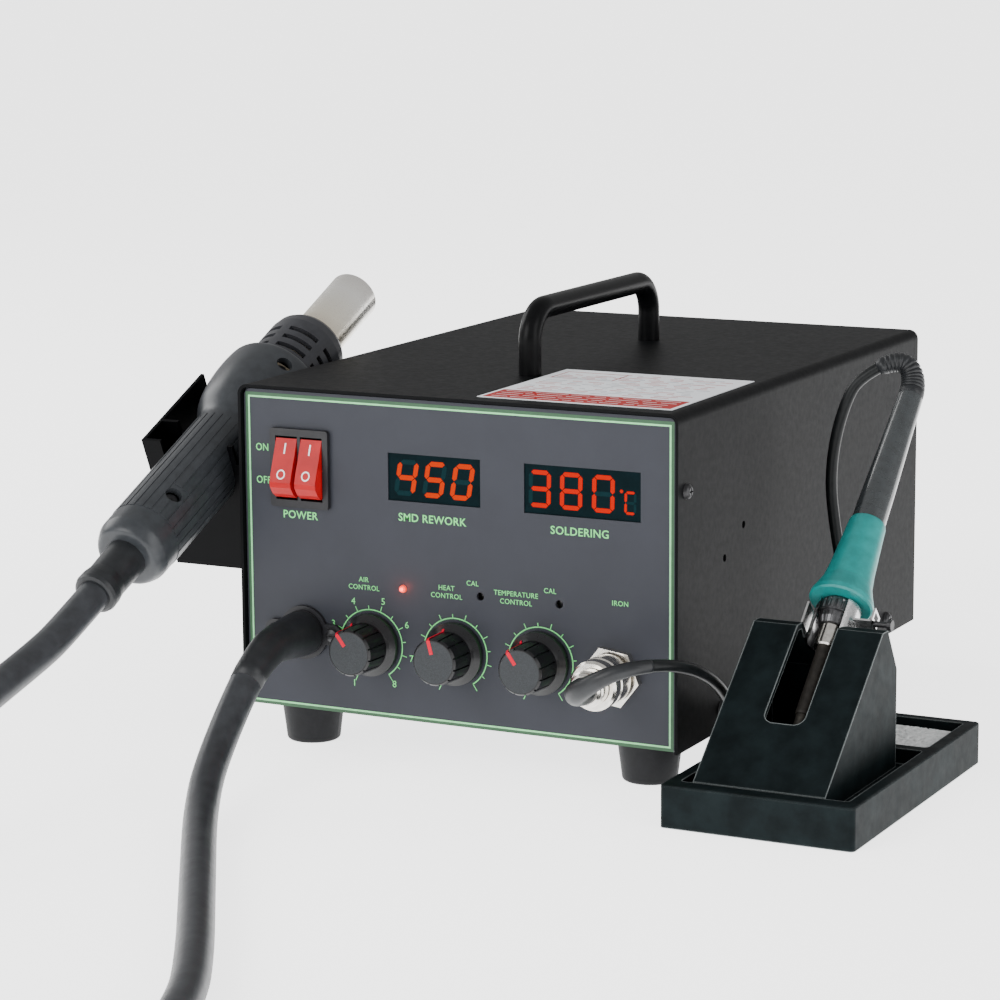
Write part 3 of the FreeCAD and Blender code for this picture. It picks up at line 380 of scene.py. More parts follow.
def new_object(name, verts, faces, finish, body="root", smooth=False):
    """Mesh piece from working-frame corners."""
    data = bpy.data.meshes.new(name)
    data.from_pydata([at(*v) for v in verts], [], faces)
    data.validate()
    data.materials.append(finish.made)
    piece = bpy.data.objects.new(name, data)
    bpy.context.scene.collection.objects.link(piece)
    if smooth:
        for polygon in data.polygons:
            polygon.use_smooth = True
    if body:
        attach(piece, body)
    return piece


class Print:
    """Thin raised ink: flat outlines in a plane, gathered into one piece."""

    def __init__(self, to_space):
        self.to_space = to_space
        self.verts = []
        self.faces = []

    def add(self, outline, thick=0.06):
        """Closed convex outline of (a, b) points, with its sides."""
        start, count = len(self.verts), len(outline)
        self.verts += [self.to_space(a, b, thick) for a, b in outline]
        self.verts += [self.to_space(a, b, 0.0) for a, b in outline]
        self.faces.append(list(range(start, start + count)))
        for i in range(count):
            j = (i + 1) % count
            self.faces.append([start + i, start + j, start + count + j, start + count + i])

    def bar(self, a0, b0, a1, b1, width):
        length = math.hypot(a1 - a0, b1 - b0)
        da, db = (b1 - b0) / length * width / 2, -(a1 - a0) / length * width / 2
        self.add([(a0 + da, b0 + db), (a1 + da, b1 + db), (a1 - da, b1 - db), (a0 - da, b0 - db)])

    def arc(self, a, b, radius, width, start, end, steps):
        for i in range(steps):
            p = math.radians(start + (end - start) * i / steps)
            q = math.radians(start + (end - start) * (i + 1) / steps)
            inner, outer = radius - width / 2, radius + width / 2
            self.add([(a + inner * math.cos(p), b + inner * math.sin(p)),
                      (a + outer * math.cos(p), b + outer * math.sin(p)),
                      (a + outer * math.cos(q), b + outer * math.sin(q)),
                      (a + inner * math.cos(q), b + inner * math.sin(q))])

    def frame(self, a0, a1, b0, b1, width):
        self.bar(a0 - width / 2, b0, a1 + width / 2, b0, width)
        self.bar(a0 - width / 2, b1, a1 + width / 2, b1, width)
        self.bar(a0, b0 + width / 2, a0, b1 - width / 2, width)
        self.bar(a1, b0 + width / 2, a1, b1 - width / 2, width)

    def build(self, name, finish, body="root"):
        return new_object(name, self.verts, self.faces, finish, body)


def facing_front(y):
    return lambda a, b, out: (a, y - out, b)


def facing_up(z):
    return lambda a, b, out: (a, b, z + out)


CAPITAL_SHARE = 0.72                        # height of a capital in the face's own size
LINE_SPACE, LETTER_SPACE = 1.12, 1.06
INK = 0.03                                  # height of printed words above the paint


def lettering(name, words, x, z, size, y, finish, bold=0.0, squeeze=1.0):
    """Upright words on a front-facing plane; size is the height of a capital."""
    data = bpy.data.curves.new(name, "FONT")
    data.body = words
    data.align_x = "CENTER"
    data.align_y = "CENTER"
    data.size = size / CAPITAL_SHARE / 1000
    data.space_line = LINE_SPACE
    data.space_character = LETTER_SPACE
    data.offset = bold / 1000
    data.extrude = INK / 1000
    data.resolution_u = 3
    source = bpy.data.objects.new(name, data)
    bpy.context.scene.collection.objects.link(source)
    bpy.context.view_layer.update()
    ready = source.evaluated_get(bpy.context.evaluated_depsgraph_get())
    mesh = bpy.data.meshes.new_from_object(ready)
    bpy.data.objects.remove(source)
    bpy.data.curves.remove(data)
    turn = Matrix.Rotation(math.pi / 2, 4, "X") @ Matrix.Diagonal((squeeze, 1, 1, 1))
    mesh.transform(Matrix.Translation(at(x, y, z)) @ turn)
    mesh.materials.clear()
    mesh.materials.append(finish.made)
    piece = bpy.data.objects.new(name, mesh)
    bpy.context.scene.collection.objects.link(piece)
    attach(piece, "root")
    return piece


def on_node(node, a, b, lift):
    """Point on the front of a CAD node, in the working frame, found along +Y."""
    start = at(a, -60, b)
    hit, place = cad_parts[node].ray_cast(start, Vector((0, 1, 0)))[:2]
    point = place if hit else start
    point = (point - SHIFT) * 1000
    return (point.x, point.y - lift, point.z)


# ---- front panel ------------------------------------------------------------------------------

DIALS = (("air", 127.0), ("heat", 105.0), ("iron", 125.0))     # name and resting angle of the pointer
SCALE_R, NUMERAL_R = 13.6, 18.0
SCALE_START, MARK_STEP, MARKS = 244.5, 21.5, 15
KNOB_FACE_R = 8.1
POINTER = (3.2, 8.7, 1.5)                   # inner end, outer end and width
DEEP_BORDER = (-90.2, 90.2, 17.6, 140.0, 1.8)
PALE_BORDER = (-89.6, 89.6, 18.3, 139.3, 0.7)


def panel_border(f):
    y = box_mm("chassis")[0].y
    dark = Print(facing_front(y))
    dark.frame(*DEEP_BORDER)
    dark.build("border_deep", f["deep_green"])
    pale = Print(facing_front(y - 0.05))
    pale.frame(*PALE_BORDER)
    pale.build("border_pale", f["pale_green"])


def panel_words(f):
    y = box_mm("chassis")[0].y - INK
    rows = [("word_power", "POWER", -67.4, 93.6, 3.1, 0.05, 1.0),
            ("word_on", "ON", -84.0, 119.3, 2.9, 0.04, 0.9),
            ("word_off", "OFF", -83.6, 106.4, 2.9, 0.04, 0.9),
            ("word_rework", "SMD REWORK", -9.5, 96.4, 3.1, 0.06, 1.0),
            ("word_soldering", "SOLDERING", 52.7, 96.6, 3.1, 0.06, 1.0),
            ("word_air", "AIR\nCONTROL", -39.6, 69.0, 2.0, 0.0, 0.98),
            ("word_heat", "HEAT\nCONTROL", -3.6, 68.9, 2.0, 0.0, 0.98),
            ("word_temperature", "TEMPERATURE\nCONTROL", 26.0, 69.1, 2.0, 0.0, 0.98),
            ("word_iron", "IRON", 69.3, 71.0, 2.0, 0.0, 0.98),
            ("word_cal_left", "CAL", 7.6, 73.2, 2.0, 0.0, 0.98),
            ("word_cal_right", "CAL", 40.3, 73.2, 2.0, 0.0, 0.98)]
    for name, words, x, z, size, bold, squeeze in rows:
        lettering(name, words, x, z, size, y, f["green"], bold, squeeze)


def dial_print(f):
    y = box_mm("chassis")[0].y
    ink = Print(facing_front(y))
    for name in [dial[0] for dial in DIALS]:
        low, high = box_mm("knob_" + name)
        x, z = (low.x + high.x) / 2, (low.z + high.z) / 2
        ink.arc(x, z, SCALE_R, 0.45, SCALE_START, SCALE_START - MARK_STEP * (MARKS - 1), 60)
        for i in range(MARKS):
            angle = math.radians(SCALE_START - MARK_STEP * i)
            reach = 3.0 if i in (0, MARKS - 1) else (2.3 if i % 2 == 0 else 1.6)
            end = SCALE_R + reach
            c, s = math.cos(angle), math.sin(angle)
            ink.bar(x + SCALE_R * c, z + SCALE_R * s, x + end * c, z + end * s, 0.3)
        if name == "air":
            for k in range(8):
                angle = math.radians(SCALE_START - 2 * MARK_STEP * k)
                lettering("numeral_%d" % (k + 1), str(k + 1), x + NUMERAL_R * math.cos(angle),
                          z + NUMERAL_R * math.sin(angle), 2.7, y - INK, f["green"])
    ink.build("dial_scales", f["green"])


def knob_pointers(f):
    """Paler knob faces and red pointers that turn with the knobs."""
    for name, angle in DIALS:
        low, high = box_mm("knob_" + name)
        x, z, face = (low.x + high.x) / 2, (low.z + high.z) / 2, low.y
        disc = Print(facing_front(face))
        turns = [t * math.pi / 24 for t in range(48)]
        disc.add([(x + KNOB_FACE_R * math.cos(t), z + KNOB_FACE_R * math.sin(t)) for t in turns], 0.05)
        disc.build("face_" + name, f["knob_face"], "dial_" + name)
        c, s = math.cos(math.radians(angle)), math.sin(math.radians(angle))
        mark = Print(facing_front(face - 0.05))
        inner, outer, width = POINTER
        mark.bar(x + inner * c, z + inner * s, x + outer * c, z + outer * s, width)
        mark.build("mark_" + name, f["red"], "dial_" + name)
        verts = []
        knob_side = ((face, 8.75), (face + 0.8, 9.35), (-3.6, 9.55), (-2.6, 10.4))
        for depth, radius in knob_side:
            for side in (-0.5, 0.5):
                for out in (0.0, 0.12):
                    r = radius + out
                    verts.append((x + r * c - side * s, depth, z + r * s + side * c))
        faces = []
        for i in range(3):
            a = 4 * i
            faces += [[a + 1, a + 3, a + 7, a + 5], [a, a + 4, a + 6, a + 2],
                      [a, a + 1, a + 5, a + 4], [a + 2, a + 6, a + 7, a + 3]]
        faces += [[0, 2, 3, 1], [12, 13, 15, 14]]
        new_object("line_" + name, verts, faces, f["red"], "dial_" + name)


DISPLAY_MIDDLE = 111.85
LEFT_FIGURES = (9.0, 14.0, 0.17, 1.9)       # width, height, slant and stroke
RIGHT_FIGURES = (9.2, 14.2, 0.02, 1.7)
UNIT_FIGURE = (4.8, 8.8, 0.02, 1.0)
SEGMENTS = {"a": ((-1, 2), (1, 2)), "b": ((1, 2), (1, 0)), "c": ((1, 0), (1, -2)), "d": ((-1, -2), (1, -2)),
            "e": ((-1, 0), (-1, -2)), "f": ((-1, 2), (-1, 0)), "g": ((-1, 0), (1, 0))}
DIGITS = {"0": "abcdef", "3": "abcdg", "4": "bcfg", "5": "acdfg", "8": "abcdefg", "C": "adef"}


def segment(ink, x, z, width, height, slant, stroke, which):
    """One six-sided segment of a numeral."""
    (a0, b0), (a1, b1) = SEGMENTS[which]
    half_w, half_h = (width - stroke) / 2, (height - stroke) / 2
    p = Vector((a0 * half_w, b0 / 2 * half_h))
    q = Vector((a1 * half_w, b1 / 2 * half_h))
    along = (q - p).normalized()
    side = Vector((-along.y, along.x)) * stroke / 2
    gap = along * 0.16
    tip = along * stroke / 2
    corners = [p + gap, p + gap + tip + side, q - gap - tip + side, q - gap,
               q - gap - tip - side, p + gap + tip - side]
    ink.add([(x + c.x + slant * c.y, z + c.y) for c in corners], 0.04)


def numeral(lit, unlit, character, x, z, width, height, slant, stroke):
    for which in SEGMENTS:
        target = lit if which in DIGITS[character] else unlit
        segment(target, x, z, width, height, slant, stroke, which)


def displays(f):
    y = box_mm("display_windows")[0].y
    left, right = Print(facing_front(y)), Print(facing_front(y))
    unlit = Print(facing_front(y))
    for character, x in zip("450", (-20.6, -8.5, 3.4)):
        numeral(left, unlit, character, x, DISPLAY_MIDDLE, *LEFT_FIGURES)
    for character, x in zip("380", (36.0, 49.0, 62.2)):
        numeral(right, unlit, character, x, DISPLAY_MIDDLE, *RIGHT_FIGURES)
    numeral(right, unlit, "C", 73.2, DISPLAY_MIDDLE - 2.6, *UNIT_FIGURE)
    right.arc(69.6, DISPLAY_MIDDLE + 1.6, 0.35, 0.7, 0, 360, 10)
    left.build("digits_left", f["orange_lit"])
    right.build("digits_right", f["red_lit"])
    unlit.build("digits_unlit", f["unlit"])


ROCKER_MIDDLE = 112.3


def rocker_marks(f):
    """A line for on and a ring for off, laid on each rocker's bent front."""
    for side in ("left", "right"):
        node = "rocker_" + side
        low, high = box_mm(node)
        x = (low.x + high.x) / 2
        ink = Print(lambda a, b, out: on_node(node, a, b, 0.02 + out))
        for i in range(4):
            ink.bar(x, ROCKER_MIDDLE + 5.8 + i, x, ROCKER_MIDDLE + 6.8 + i, 0.6)
        ink.arc(x, ROCKER_MIDDLE - 1.9, 1.6, 0.5, 0, 360, 28)
        ink.build("marks_" + side, f["white"], node)


def top_label_print(f):
    """A red band and rows of dashes that stand for small text."""
    low, high = box_mm("top_label")
    z = high.z
    x0, x1, y0 = low.x, high.x, low.y
    band = Print(facing_up(z))
    band.add([(x0 + 1.5, y0 + 1.5), (x1 - 1.5, y0 + 1.5), (x1 - 1.5, y0 + 20), (x0 + 1.5, y0 + 20)], 0.03)
    band.build("label_band", f["red_band"])
    white, red, grey = Print(facing_up(z + 0.03)), Print(facing_up(z)), Print(facing_up(z))
    for row in range(4):
        b = y0 + 4.5 + 4.2 * row
        a = x0 + 4
        while a < x1 - 8:
            length = min(random.uniform(3.0, 14.0), x1 - 4 - a)
            white.bar(a, b, a + length, b, 0.35)
            a += length + random.uniform(1.0, 2.5)
    for row in range(16):
        b = y0 + 24 + 3.2 * row
        a = x0 + 5 + (30 if row % 5 == 4 else 0)
        while a < x1 - 10:
            length = min(random.uniform(2.0, 10.0), x1 - 5 - a)
            (red if random.random() < 0.6 else grey).bar(a, b, a + length, b, 0.45)
            a += length + random.uniform(1.5, 6.0)
    red.frame(x0 + 4, x0 + 30, y0 + 56, y0 + 72, 0.4)
    white.build("label_lines_white", f["white"])
    red.build("label_lines_red", f["red_band"])
    grey.build("label_lines_grey", f["grey_print"])


# ---- cords ------------------------------------------------------------------------------------

HOSE_ROUTE = [
    (-66.1, -24.0, 47.5), (-66.0, -36.0, 43.0), (-65.0, -50.0, 33.5), (-62.0, -68.0, 22.0),
    (-55.0, -90.0, 12.8), (-44.5, -111.0, 7.6), (-31.5, -133.5, 6.3), (-12.0, -165.5, 6.3),
    (12.0, -205.0, 6.3), (37.0, -246.0, 6.3), (59.5, -286.0, 6.3), (74.0, -328.0, 6.3),
    (66.0, -371.0, 6.3), (34.0, -401.0, 6.3), (-9.0, -409.0, 6.3), (-51.0, -394.0, 6.3),
    (-81.0, -361.0, 6.3), (-98.0, -318.0, 7.8), (-107.5, -273.0, 13.5), (-113.5, -229.0, 22.5),
    (-117.0, -185.0, 33.5), (-117.8, -142.0, 46.0), (-117.8, -103.0, 56.0), (-117.8, -89.66, 60.74),
    (-117.8, -67.36, 70.76)]
IRON_CORD_TO_COIL = [
    (66.4, -24.0, 43.2), (66.8, -33.5, 43.6), (73.5, -40.5, 48.0), (84.0, -41.5, 54.8),
    (94.5, -36.0, 57.8), (101.5, -24.0, 56.6), (104.5, -8.0, 51.5), (104.8, 10.0, 43.0),
    (102.5, 28.0, 31.0), (99.8, 46.0, 17.0), (98.2, 64.0, 6.0), (94.5, 84.0, 2.5),
    (85.0, 103.0, 2.4), (67.0, 118.0, 2.4), (48.0, 122.8, 2.4), (35.0, 122.7, 2.4)]
IRON_CORD_FROM_COIL = [
    (35.0, 177.3, 7.2), (50.0, 177.0, 6.8), (68.0, 173.0, 3.8), (84.0, 162.0, 2.4),
    (96.0, 145.0, 2.4), (106.0, 129.0, 3.2), (114.0, 118.5, 11.0), (117.0, 113.5, 27.0),
    (117.3, 112.0, 46.0), (115.2, 112.0, 66.0), (111.6, 112.4, 83.5), (109.0, 113.2, 101.0),
    (110.0, 114.6, 118.0), (113.8, 116.3, 133.5), (118.6, 118.0, 143.2), (127.1, 120.35, 147.9)]
COIL_CENTRE = (35.0, 150.0)
COIL_R = 25.0
LOWER_LAYER, LAYER_RISE = 2.4, 4.75
ROUNDING = 1.0125                           # a spline runs this much inside the circle of its control points
CORD_R = 2.3
HOSE_R = 6.25
SLEEVE_REACH = 0.026                        # metres of hose under the port sleeve
BOOT_REACH = 0.052                          # metres of cord under the plug's boot


def between(value, low, high):
    return min(1.0, max(0.0, (value - low) / (high - low)))


def coil_turns():
    """Three and a half turns, outer then inner in the lower layer, and back out in the upper one."""
    points = []
    steps = 20
    for i in range(1, int(3.5 * steps)):
        t = i / steps
        angle = math.radians(-90 - 360 * t)
        inwards = between(t, 0.9, 1.1) - between(t, 2.55, 2.8)
        radius = (COIL_R + CORD_R - 2 * CORD_R * inwards) * ROUNDING
        z = LOWER_LAYER + LAYER_RISE * between(t, 1.75, 2.05)
        points.append((COIL_CENTRE[0] + radius * math.cos(angle),
                       COIL_CENTRE[1] + radius * math.sin(angle), z))
    return points


def nurbs(name, points):
    data = bpy.data.curves.new(name, "CURVE")
    data.dimensions = "3D"
    data.resolution_u = 10
    spline = data.splines.new("NURBS")
    spline.points.add(len(points) - 1)
    for knot, point in zip(spline.points, points):
        knot.co = (*at(*point), 1)
    spline.order_u = 3
    spline.use_endpoint_u = True
    curve = bpy.data.objects.new(name, data)
    bpy.context.scene.collection.objects.link(curve)
    return curve


def as_mesh(curve):
    bpy.context.view_layer.update()
    ready = curve.evaluated_get(bpy.context.evaluated_depsgraph_get())
    return bpy.data.meshes.new_from_object(ready)


def tube(name, points, radius, finish):
    """Round mesh tube along one smooth spline, and the line it follows."""
    curve = nurbs(name + "_line", points)
    line = [v.co.copy() for v in as_mesh(curve).vertices]
    curve.data.bevel_depth = radius / 1000
    curve.data.bevel_resolution = 7
    curve.data.use_fill_caps = True
    mesh = as_mesh(curve)
    bpy.data.objects.remove(curve)
    mesh.materials.clear()
    mesh.materials.append(finish.made)
    for polygon in mesh.polygons:
        polygon.use_smooth = True
    piece = bpy.data.objects.new(name, mesh)
    bpy.context.scene.collection.objects.link(piece)
    return piece, line


def line_length(line):
    return sum((b - a).length for a, b in zip(line, line[1:]))


def first_stretch(line, metres):
    """Every third point of a cord's first stretch, in the working frame."""
    near = [p for i, p in enumerate(line) if line_length(line[:i + 1]) < metres]
    return [tuple((p - SHIFT) * 1000) for p in near[::3]]


def blend_along(piece, line):
    """A whole ring of the tube gets one weight, so it stays round where two legs of the cord run side by side.
    """
    tree = kdtree.KDTree(len(line))
    reach = [0.0]
    for i, point in enumerate(line):
        tree.insert(point, i)
        if i:
            reach.append(reach[-1] + (point - line[i - 1]).length)
    tree.balance()
    vertices = piece.data.vertices
    kept = [v.co.copy() for v in vertices]
    for v in vertices:
        v.co = (reach[tree.find(v.co)[1]], 0, 0)
    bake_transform(piece)
    for v, place in zip(vertices, kept):
        v.co = place


def swept(name, points, outline, finish, body, sides=28):
    """Turned sleeve along a smooth line; outline gives (share of the length, radius in mm)."""
    curve = nurbs(name + "_line", points)
    line = [v.co.copy() for v in as_mesh(curve).vertices]
    bpy.data.objects.remove(curve)
    total = line_length(line)
    verts, faces = [], []
    side = Vector((0, 0, 1)).cross(line[1] - line[0])
    side = side if side.length > 1e-9 else Vector((1, 0, 0))
    side.normalize()
    for share, radius in outline:
        goal, i = share * total, 0
        while i < len(line) - 2 and goal > (line[i + 1] - line[i]).length:
            goal -= (line[i + 1] - line[i]).length
            i += 1
        along = (line[i + 1] - line[i]).normalized()
        centre = line[i] + along * goal
        side = (side - along * side.dot(along)).normalized()
        other = along.cross(side)
        for k in range(sides):
            turn = 2 * math.pi * k / sides
            verts.append(centre + (side * math.cos(turn) + other * math.sin(turn)) * radius / 1000)
    rings = len(outline)
    for i in range(rings - 1):
        for k in range(sides):
            n = (k + 1) % sides
            faces.append([i * sides + k, i * sides + n, (i + 1) * sides + n, (i + 1) * sides + k])
    faces.append(list(range(sides))[::-1])
    faces.append([(rings - 1) * sides + k for k in range(sides)])
    data = bpy.data.meshes.new(name)
    data.from_pydata(verts, [], faces)
    data.materials.append(finish.made)
    piece = bpy.data.objects.new(name, data)
    bpy.context.scene.collection.objects.link(piece)
    for polygon in data.polygons:
        polygon.use_smooth = len(polygon.vertices) == 4
    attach(piece, body)
    return piece


def air_hose(f):
    """The gun's hose and the sleeve that it leaves the panel through."""
    piece, line = tube("air_hose", HOSE_ROUTE, HOSE_R, f["hose"])
    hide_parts("hose")
    sleeve = [(0.0, 7.6), (0.0, 8.7), (0.03, 9.0), (0.12, 8.8), (0.25, 8.2), (0.4, 7.6), (0.55, 7.1),
              (0.72, 6.7), (0.88, 6.5), (1.0, 6.3)]
    x, _, z = HOSE_ROUTE[0]
    boot_points = [(x, 0.45, z), (x, -8.0, z), (x, -16.0, z)] + first_stretch(line, SLEEVE_REACH)
    boot = swept("port_sleeve", boot_points, sleeve, f["rubber"], "root", 40)
    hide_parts("port_boot")
    blend_along(piece, line)


HANDLE_END, RELIEF_KNEE = 105.0, 111.0      # along the iron's axis from its datum
RELIEF_TOP = (137.3, 123.4, 148.9)


def relief_line():
    """Handle end, knee, top of the bend and the cord's end, as the CAD piece runs."""
    axis = Vector((0, math.cos(IRON_TILT), math.sin(IRON_TILT)))
    base = (IRON_DATUM - SHIFT) * 1000
    end = base + axis * HANDLE_END
    knee = base + axis * RELIEF_KNEE
    before, last = Vector(IRON_CORD_FROM_COIL[-2]), Vector(IRON_CORD_FROM_COIL[-1])
    along = (last - before).normalized()
    return [tuple(end - axis * 1.0), tuple(knee), RELIEF_TOP, tuple(last + along * 5.0),
            tuple(last - along * 1.5)]


def iron_lead(f):
    """The iron's cord, its ribbed relief at the handle and the boot on its plug."""
    points = IRON_CORD_TO_COIL + coil_turns() + IRON_CORD_FROM_COIL
    piece, line = tube("iron_lead", points, CORD_R, f["cord"])
    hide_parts("iron_cord", "cord_coil")
    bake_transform(piece)
    ribs = [(0.0, 4.35), (0.03, 4.8), (0.10, 4.9)]
    for i in range(13):
        a, r = 0.13 + 0.06 * i, 4.8 - 0.1 * i
        ribs += [(a, r), (a + 0.006, r - 0.4), (a + 0.024, r - 0.4), (a + 0.030, r)]
    ribs += [(0.93, 3.3), (0.99, 2.9), (1.0, 2.4)]
    relief = swept("iron_relief", relief_line(), ribs, f["rubber"], "iron")
    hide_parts("iron_strain_relief")
    x, y, z = IRON_CORD_TO_COIL[0]
    boot_points = [(x, y + 0.4, z)] + first_stretch(line, BOOT_REACH)[1:]
    shares = [0.02 + 0.03 * i for i in range(33)]
    boot = [(0.0, 5.0)] + [(share, 2.5 + 2.8 * (1 - share) ** 1.4) for share in shares] + [(1.0, 2.4)]
    plug_boot = swept("plug_boot", boot_points, boot, f["rubber"], "root")


# ---- gun, iron and stand details --------------------------------------------------------------

def on_axis(base, tilt, roll, offset, along, across):
    """Point of a part whose axis climbs to the back: offset from the axis, along it, and across."""
    rolled = Matrix.Rotation(roll, 3, "Y") @ Vector((offset, along, across))
    point = Matrix.Rotation(tilt, 3, "X") @ rolled
    base = (base - SHIFT) * 1000
    return tuple(base + point)


CLEAR_OUTSIDE = 60.0                        # from an axis to where a ray starts, clear of the part
SLOPE_ACROSS, SLOPE_ALONG = 0.8, 0.6        # a rib stops where the surface falls or climbs by more
RIB_SINK = 0.1                              # how far a rib's edges go into the surface
SHORTEST_RIB = 5                            # stations that a rib has at least


def outer_radius(nodes, base, tilt, angle, along):
    """Distance from a tilted axis to the outside of CAD nodes, in millimetres, or None where they end."""
    offset, across = CLEAR_OUTSIDE * math.cos(angle), CLEAR_OUTSIDE * math.sin(angle)
    origin = at(*on_axis(base, tilt, 0.0, offset, along, across))
    inwards = (at(*on_axis(base, tilt, 0.0, 0.0, along, 0.0)) - origin).normalized()
    found = []
    for node in nodes:
        hit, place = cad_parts[node].ray_cast(origin, inwards)[:2]
        if hit:
            found.append(CLEAR_OUTSIDE - (place - origin).length * 1000)
    return max(found) if found else None


def ribs_along(name, nodes, base, tilt, body, finish, count, share, height, stations):
    """Raised ribs along a part whose axis climbs to the back, laid on its own surface.

    share is the part of each turn's step that a rib covers, height its height in millimetres.
    """
    verts, faces = [], []

    def add_rib(rings):
        start, sides = len(verts), len(rings[0])
        for ring in rings:
            verts.extend(ring)
        for i in range(len(rings) - 1):
            for k in range(sides):
                p, q = start + i * sides + k, start + i * sides + (k + 1) % sides
                faces.append([p, q, q + sides, p + sides])
        faces.append([start + k for k in range(sides)][::-1])
        faces.append([start + (len(rings) - 1) * sides + k for k in range(sides)])

    for k in range(count):
        angles = [2 * math.pi * (k + share * t) / count for t in (-0.5, -0.17, 0.17, 0.5)]
        rings, last = [], None
        for along in stations:
            radii = [outer_radius(nodes, base, tilt, angle, along) for angle in angles]
            good = None not in radii and max(radii) - min(radii) < SLOPE_ACROSS
            if good and last:
                good = max(abs(r - q) for r, q in zip(radii, last)) < SLOPE_ALONG
            if good:
                edge = [(angles[0], radii[0] - RIB_SINK)]
                edge += [(t, r + height) for t, r in zip(angles, radii)]
                edge.append((angles[-1], radii[-1] - RIB_SINK))
                rings.append([on_axis(base, tilt, 0.0, r * math.cos(t), along, r * math.sin(t))
                              for t, r in edge])
            if not good or along == stations[-1]:
                if len(rings) >= SHORTEST_RIB:
                    add_rib(rings)
                rings = []
            last = radii if None not in radii else None
    new_object(name, verts, faces, finish, body)


def handle_ribs(f):
    """Lengthwise ribs of the gun's handle and the knurl of the iron's collar."""
    ribs_along("grip_ribs", ("gun_shell_front", "gun_shell_back"), GUN_TAIL, GUN_TILT, "gun", f["grip"],
               26, 0.78, 0.22, [18.0 + 1.5 * i for i in range(45)])
    ribs_along("collar_ribs", ("iron_collar",), IRON_DATUM, IRON_TILT, "iron", f["dark_knurl"],
               24, 0.6, 0.3, [-30.0 + 0.5 * i for i in range(121)])


def gun_screws(f):
    """Cross-head screws deep in the handle's two screw holes, near-black as painted shade for the dark holes.
    """
    roll = math.radians(-51.0)
    sides = 20
    for i, (along, depth) in enumerate(((31.0, 11.6), (119.0, 17.5))):
        verts, faces = [], []
        for level, radius in ((depth - 1.2, 3.1), (depth, 3.1), (depth + 0.5, 2.4)):
            for k in range(sides):
                t = 2 * math.pi * k / sides
                verts.append(on_axis(GUN_TAIL, GUN_TILT, roll, level, along + radius * math.cos(t),
                                     radius * math.sin(t)))
        for start in (0, sides):
            for k in range(sides):
                n = (k + 1) % sides
                faces.append([start + k, start + n, start + sides + n, start + sides + k])
        faces.append(list(range(2 * sides, 3 * sides)))
        # Near-black finish here is painted shade: it makes the handle's holes read dark.
        new_object("gun_screw_%d" % i, verts, faces, f["black_screw"], "gun")
        # The dark cross is painted shade in the screw's recess.
        cross = Print(lambda a, b, out: on_axis(GUN_TAIL, GUN_TILT, roll, depth + 0.5 + out, along + a, b))
        cross.bar(-1.5, -0.5, 1.5, 0.5, 0.5)
        cross.bar(0.5, -1.5, -0.5, 1.5, 0.5)
        cross.build("gun_screw_cross_%d" % i, f["hole"], "gun")


def clip_plate(name, xs, us, ws, finish):
    """Flat piece of the sprung clip, square to the resting iron."""
    corners = [on_axis(IRON_DATUM, IRON_TILT, 0.0, x, u, w) for x in xs for u in us for w in ws]
    faces = [[0, 1, 3, 2], [4, 6, 7, 5], [0, 4, 5, 1], [2, 3, 7, 6], [0, 2, 6, 4], [1, 5, 7, 3]]
    new_object(name, corners, faces, finish)


def clip_details(f):
    """Front arm, outer lug and clamp screw of the stand's sprung clip."""
    clip_plate("clip_arm", (-10.2, -9.4), (-9.0, 0.5), (-4.0, 6.5), f["clip"])
    clip_plate("clip_bridge", (8.6, 16.0), (-4.4, -3.6), (-2.0, 4.6), f["clip"])
    clip_plate("clip_lug", (15.2, 16.0), (-4.4, 1.6), (-2.0, 4.6), f["clip"])
    # A thin near-black plate in the lug's slot: painted shade.
    clip_plate("clip_lug_slot_shade", (16.0, 16.08), (-2.2, 0.4), (-0.2, 3.4), f["hole"])
    screw_y, screw_z, sides = 36.6, 64.6, 20
    turns = [2 * math.pi * k / sides for k in range(sides)]
    for i, (left, right, radius) in enumerate(((156.4, 162.0, 1.2), (162.0, 163.6, 2.1))):
        verts = [(x, screw_y + radius * math.cos(t), screw_z + radius * math.sin(t))
                 for x in (left, right) for t in turns]
        faces = [[k, sides + k, sides + (k + 1) % sides, (k + 1) % sides] for k in range(sides)]
        faces += [list(range(sides)), list(range(2 * sides - 1, sides - 1, -1))]
        new_object("clip_screw_%d" % i, verts, faces, f["black_screw"])


def sponge(f):
    """Soft cellulose pad with a pitted, slightly domed surface."""
    low, high = box_mm("stand_sponge")
    nx, ny = 90, 60
    rim_width, rim_fall, pit_depth = 0.03, 2.2, 1.1
    verts, faces = [], []
    for layer in range(2):
        for j in range(ny + 1):
            for i in range(nx + 1):
                a, b = i / nx, j / ny
                x = low.x + (high.x - low.x) * a
                y = low.y + (high.y - low.y) * b
                edge = min(a, 1 - a, (b * ny / nx), (1 - b) * ny / nx)
                fall = rim_fall * max(0.0, 1 - edge / rim_width) ** 2
                if layer:
                    swell = 0.25 * math.sin(9 * a + 5 * b)
                    z = high.z - 0.4 - fall - random.random() ** 3 * pit_depth - swell
                else:
                    z = low.z + fall * 0.5
                verts.append((x, y, z))
    stride = nx + 1
    half = stride * (ny + 1)
    for j in range(ny):
        for i in range(nx):
            p = j * stride + i
            faces.append([half + p, half + p + 1, half + p + stride + 1, half + p + stride])
            faces.append([p, p + stride, p + stride + 1, p + 1])
    rim = list(range(nx)) + [j * stride + nx for j in range(ny)]
    rim += [ny * stride + nx - i for i in range(nx)] + [(ny - j) * stride for j in range(ny)]
    for p, q in zip(rim, rim[1:] + rim[:1]):
        faces.append([p, q, half + q, half + p])
    piece = new_object("sponge_pad", verts, faces, f["sponge"], "root", smooth=True)
    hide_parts("stand_sponge")


# ---- studio -----------------------------------------------------------------------------------

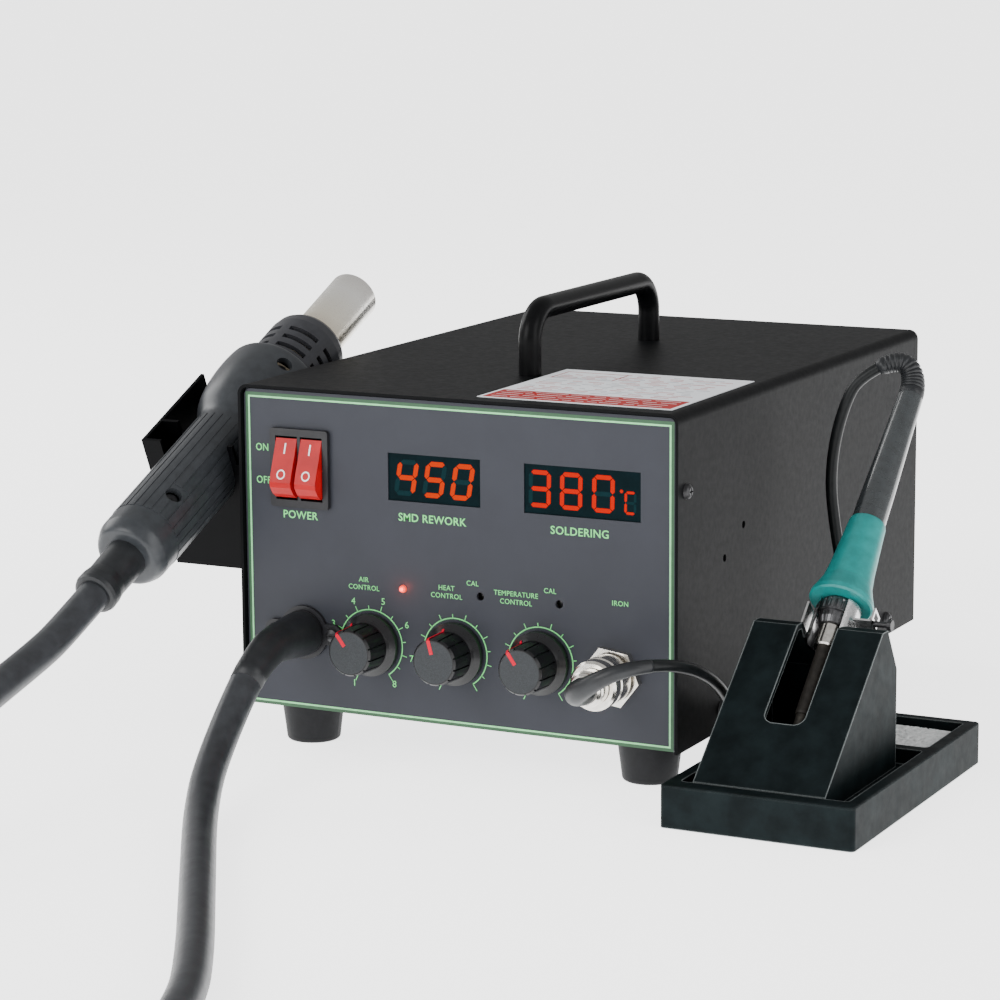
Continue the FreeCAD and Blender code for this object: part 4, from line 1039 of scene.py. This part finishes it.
FLOOR_HALF = 50
FLOOR_GLOW, WORLD_LIGHT = 2.5, 0.6
LED_GLOW, LED_COLOUR = 0.0015, (1, 0.08, 0.03)


def area_light(name, place, aim, size, power):
    data = bpy.data.lights.new(name, "AREA")
    data.shape = "RECTANGLE"
    data.size, data.size_y = size
    data.energy = power
    light = bpy.data.objects.new(name, data)
    bpy.context.scene.collection.objects.link(light)
    light.location = place
    light.rotation_euler = (Vector(aim) - Vector(place)).to_track_quat("-Z", "Y").to_euler()


def studio():
    """Pale floor, white surroundings, three soft lights and the status lamp's own glow."""
    floor = bpy.data.meshes.new("floor")
    corners = [(x * FLOOR_HALF, y * FLOOR_HALF, 0) for x, y in ((-1, -1), (1, -1), (1, 1), (-1, 1))]
    floor.from_pydata(corners, [], [[0, 1, 2, 3]])
    paper = Finish("floor_paper", (0.88, 0.88, 0.88), 0.85).mottle(2, 0.01).glow((1, 1, 1), FLOOR_GLOW)
    floor.materials.append(paper.made)
    ground = bpy.data.objects.new("floor", floor)
    bpy.context.scene.collection.objects.link(ground)
    world = bpy.data.worlds.new("studio")
    bpy.context.scene.world = world
    world.use_nodes = True
    background = world.node_tree.nodes["Background"]
    background.inputs["Color"].default_value = (1, 1, 1, 1)
    background.inputs["Strength"].default_value = WORLD_LIGHT
    area_light("key", (-0.7, -1.6, 0.9), (0, 0, 0.08), (1.2, 1.0), 24)
    area_light("right", (1.7, -0.4, 0.7), (0.05, 0, 0.08), (0.9, 1.2), 12)
    area_light("left", (-1.6, 0.2, 0.9), (-0.1, 0, 0.12), (0.9, 0.9), 12)
    glow = bpy.data.lights.new("led_glow", "POINT")
    glow.energy = LED_GLOW
    glow.color = LED_COLOUR
    glow.shadow_soft_size = 0.0012
    lamp = bpy.data.objects.new("led_glow", glow)
    bpy.context.scene.collection.objects.link(lamp)
    low, high = box_mm("indicator_led")
    lamp.location = at((low.x + high.x) / 2, low.y - 1.6, (low.z + high.z) / 2)


def main():
    add_camera()
    f = finishes()
    air_hose(f)
    iron_lead(f)
    dress_cad(f)
    panel_border(f)
    panel_words(f)
    dial_print(f)
    knob_pointers(f)
    displays(f)
    rocker_marks(f)
    top_label_print(f)
    handle_ribs(f)
    gun_screws(f)
    clip_details(f)
    sponge(f)
    studio()


main()
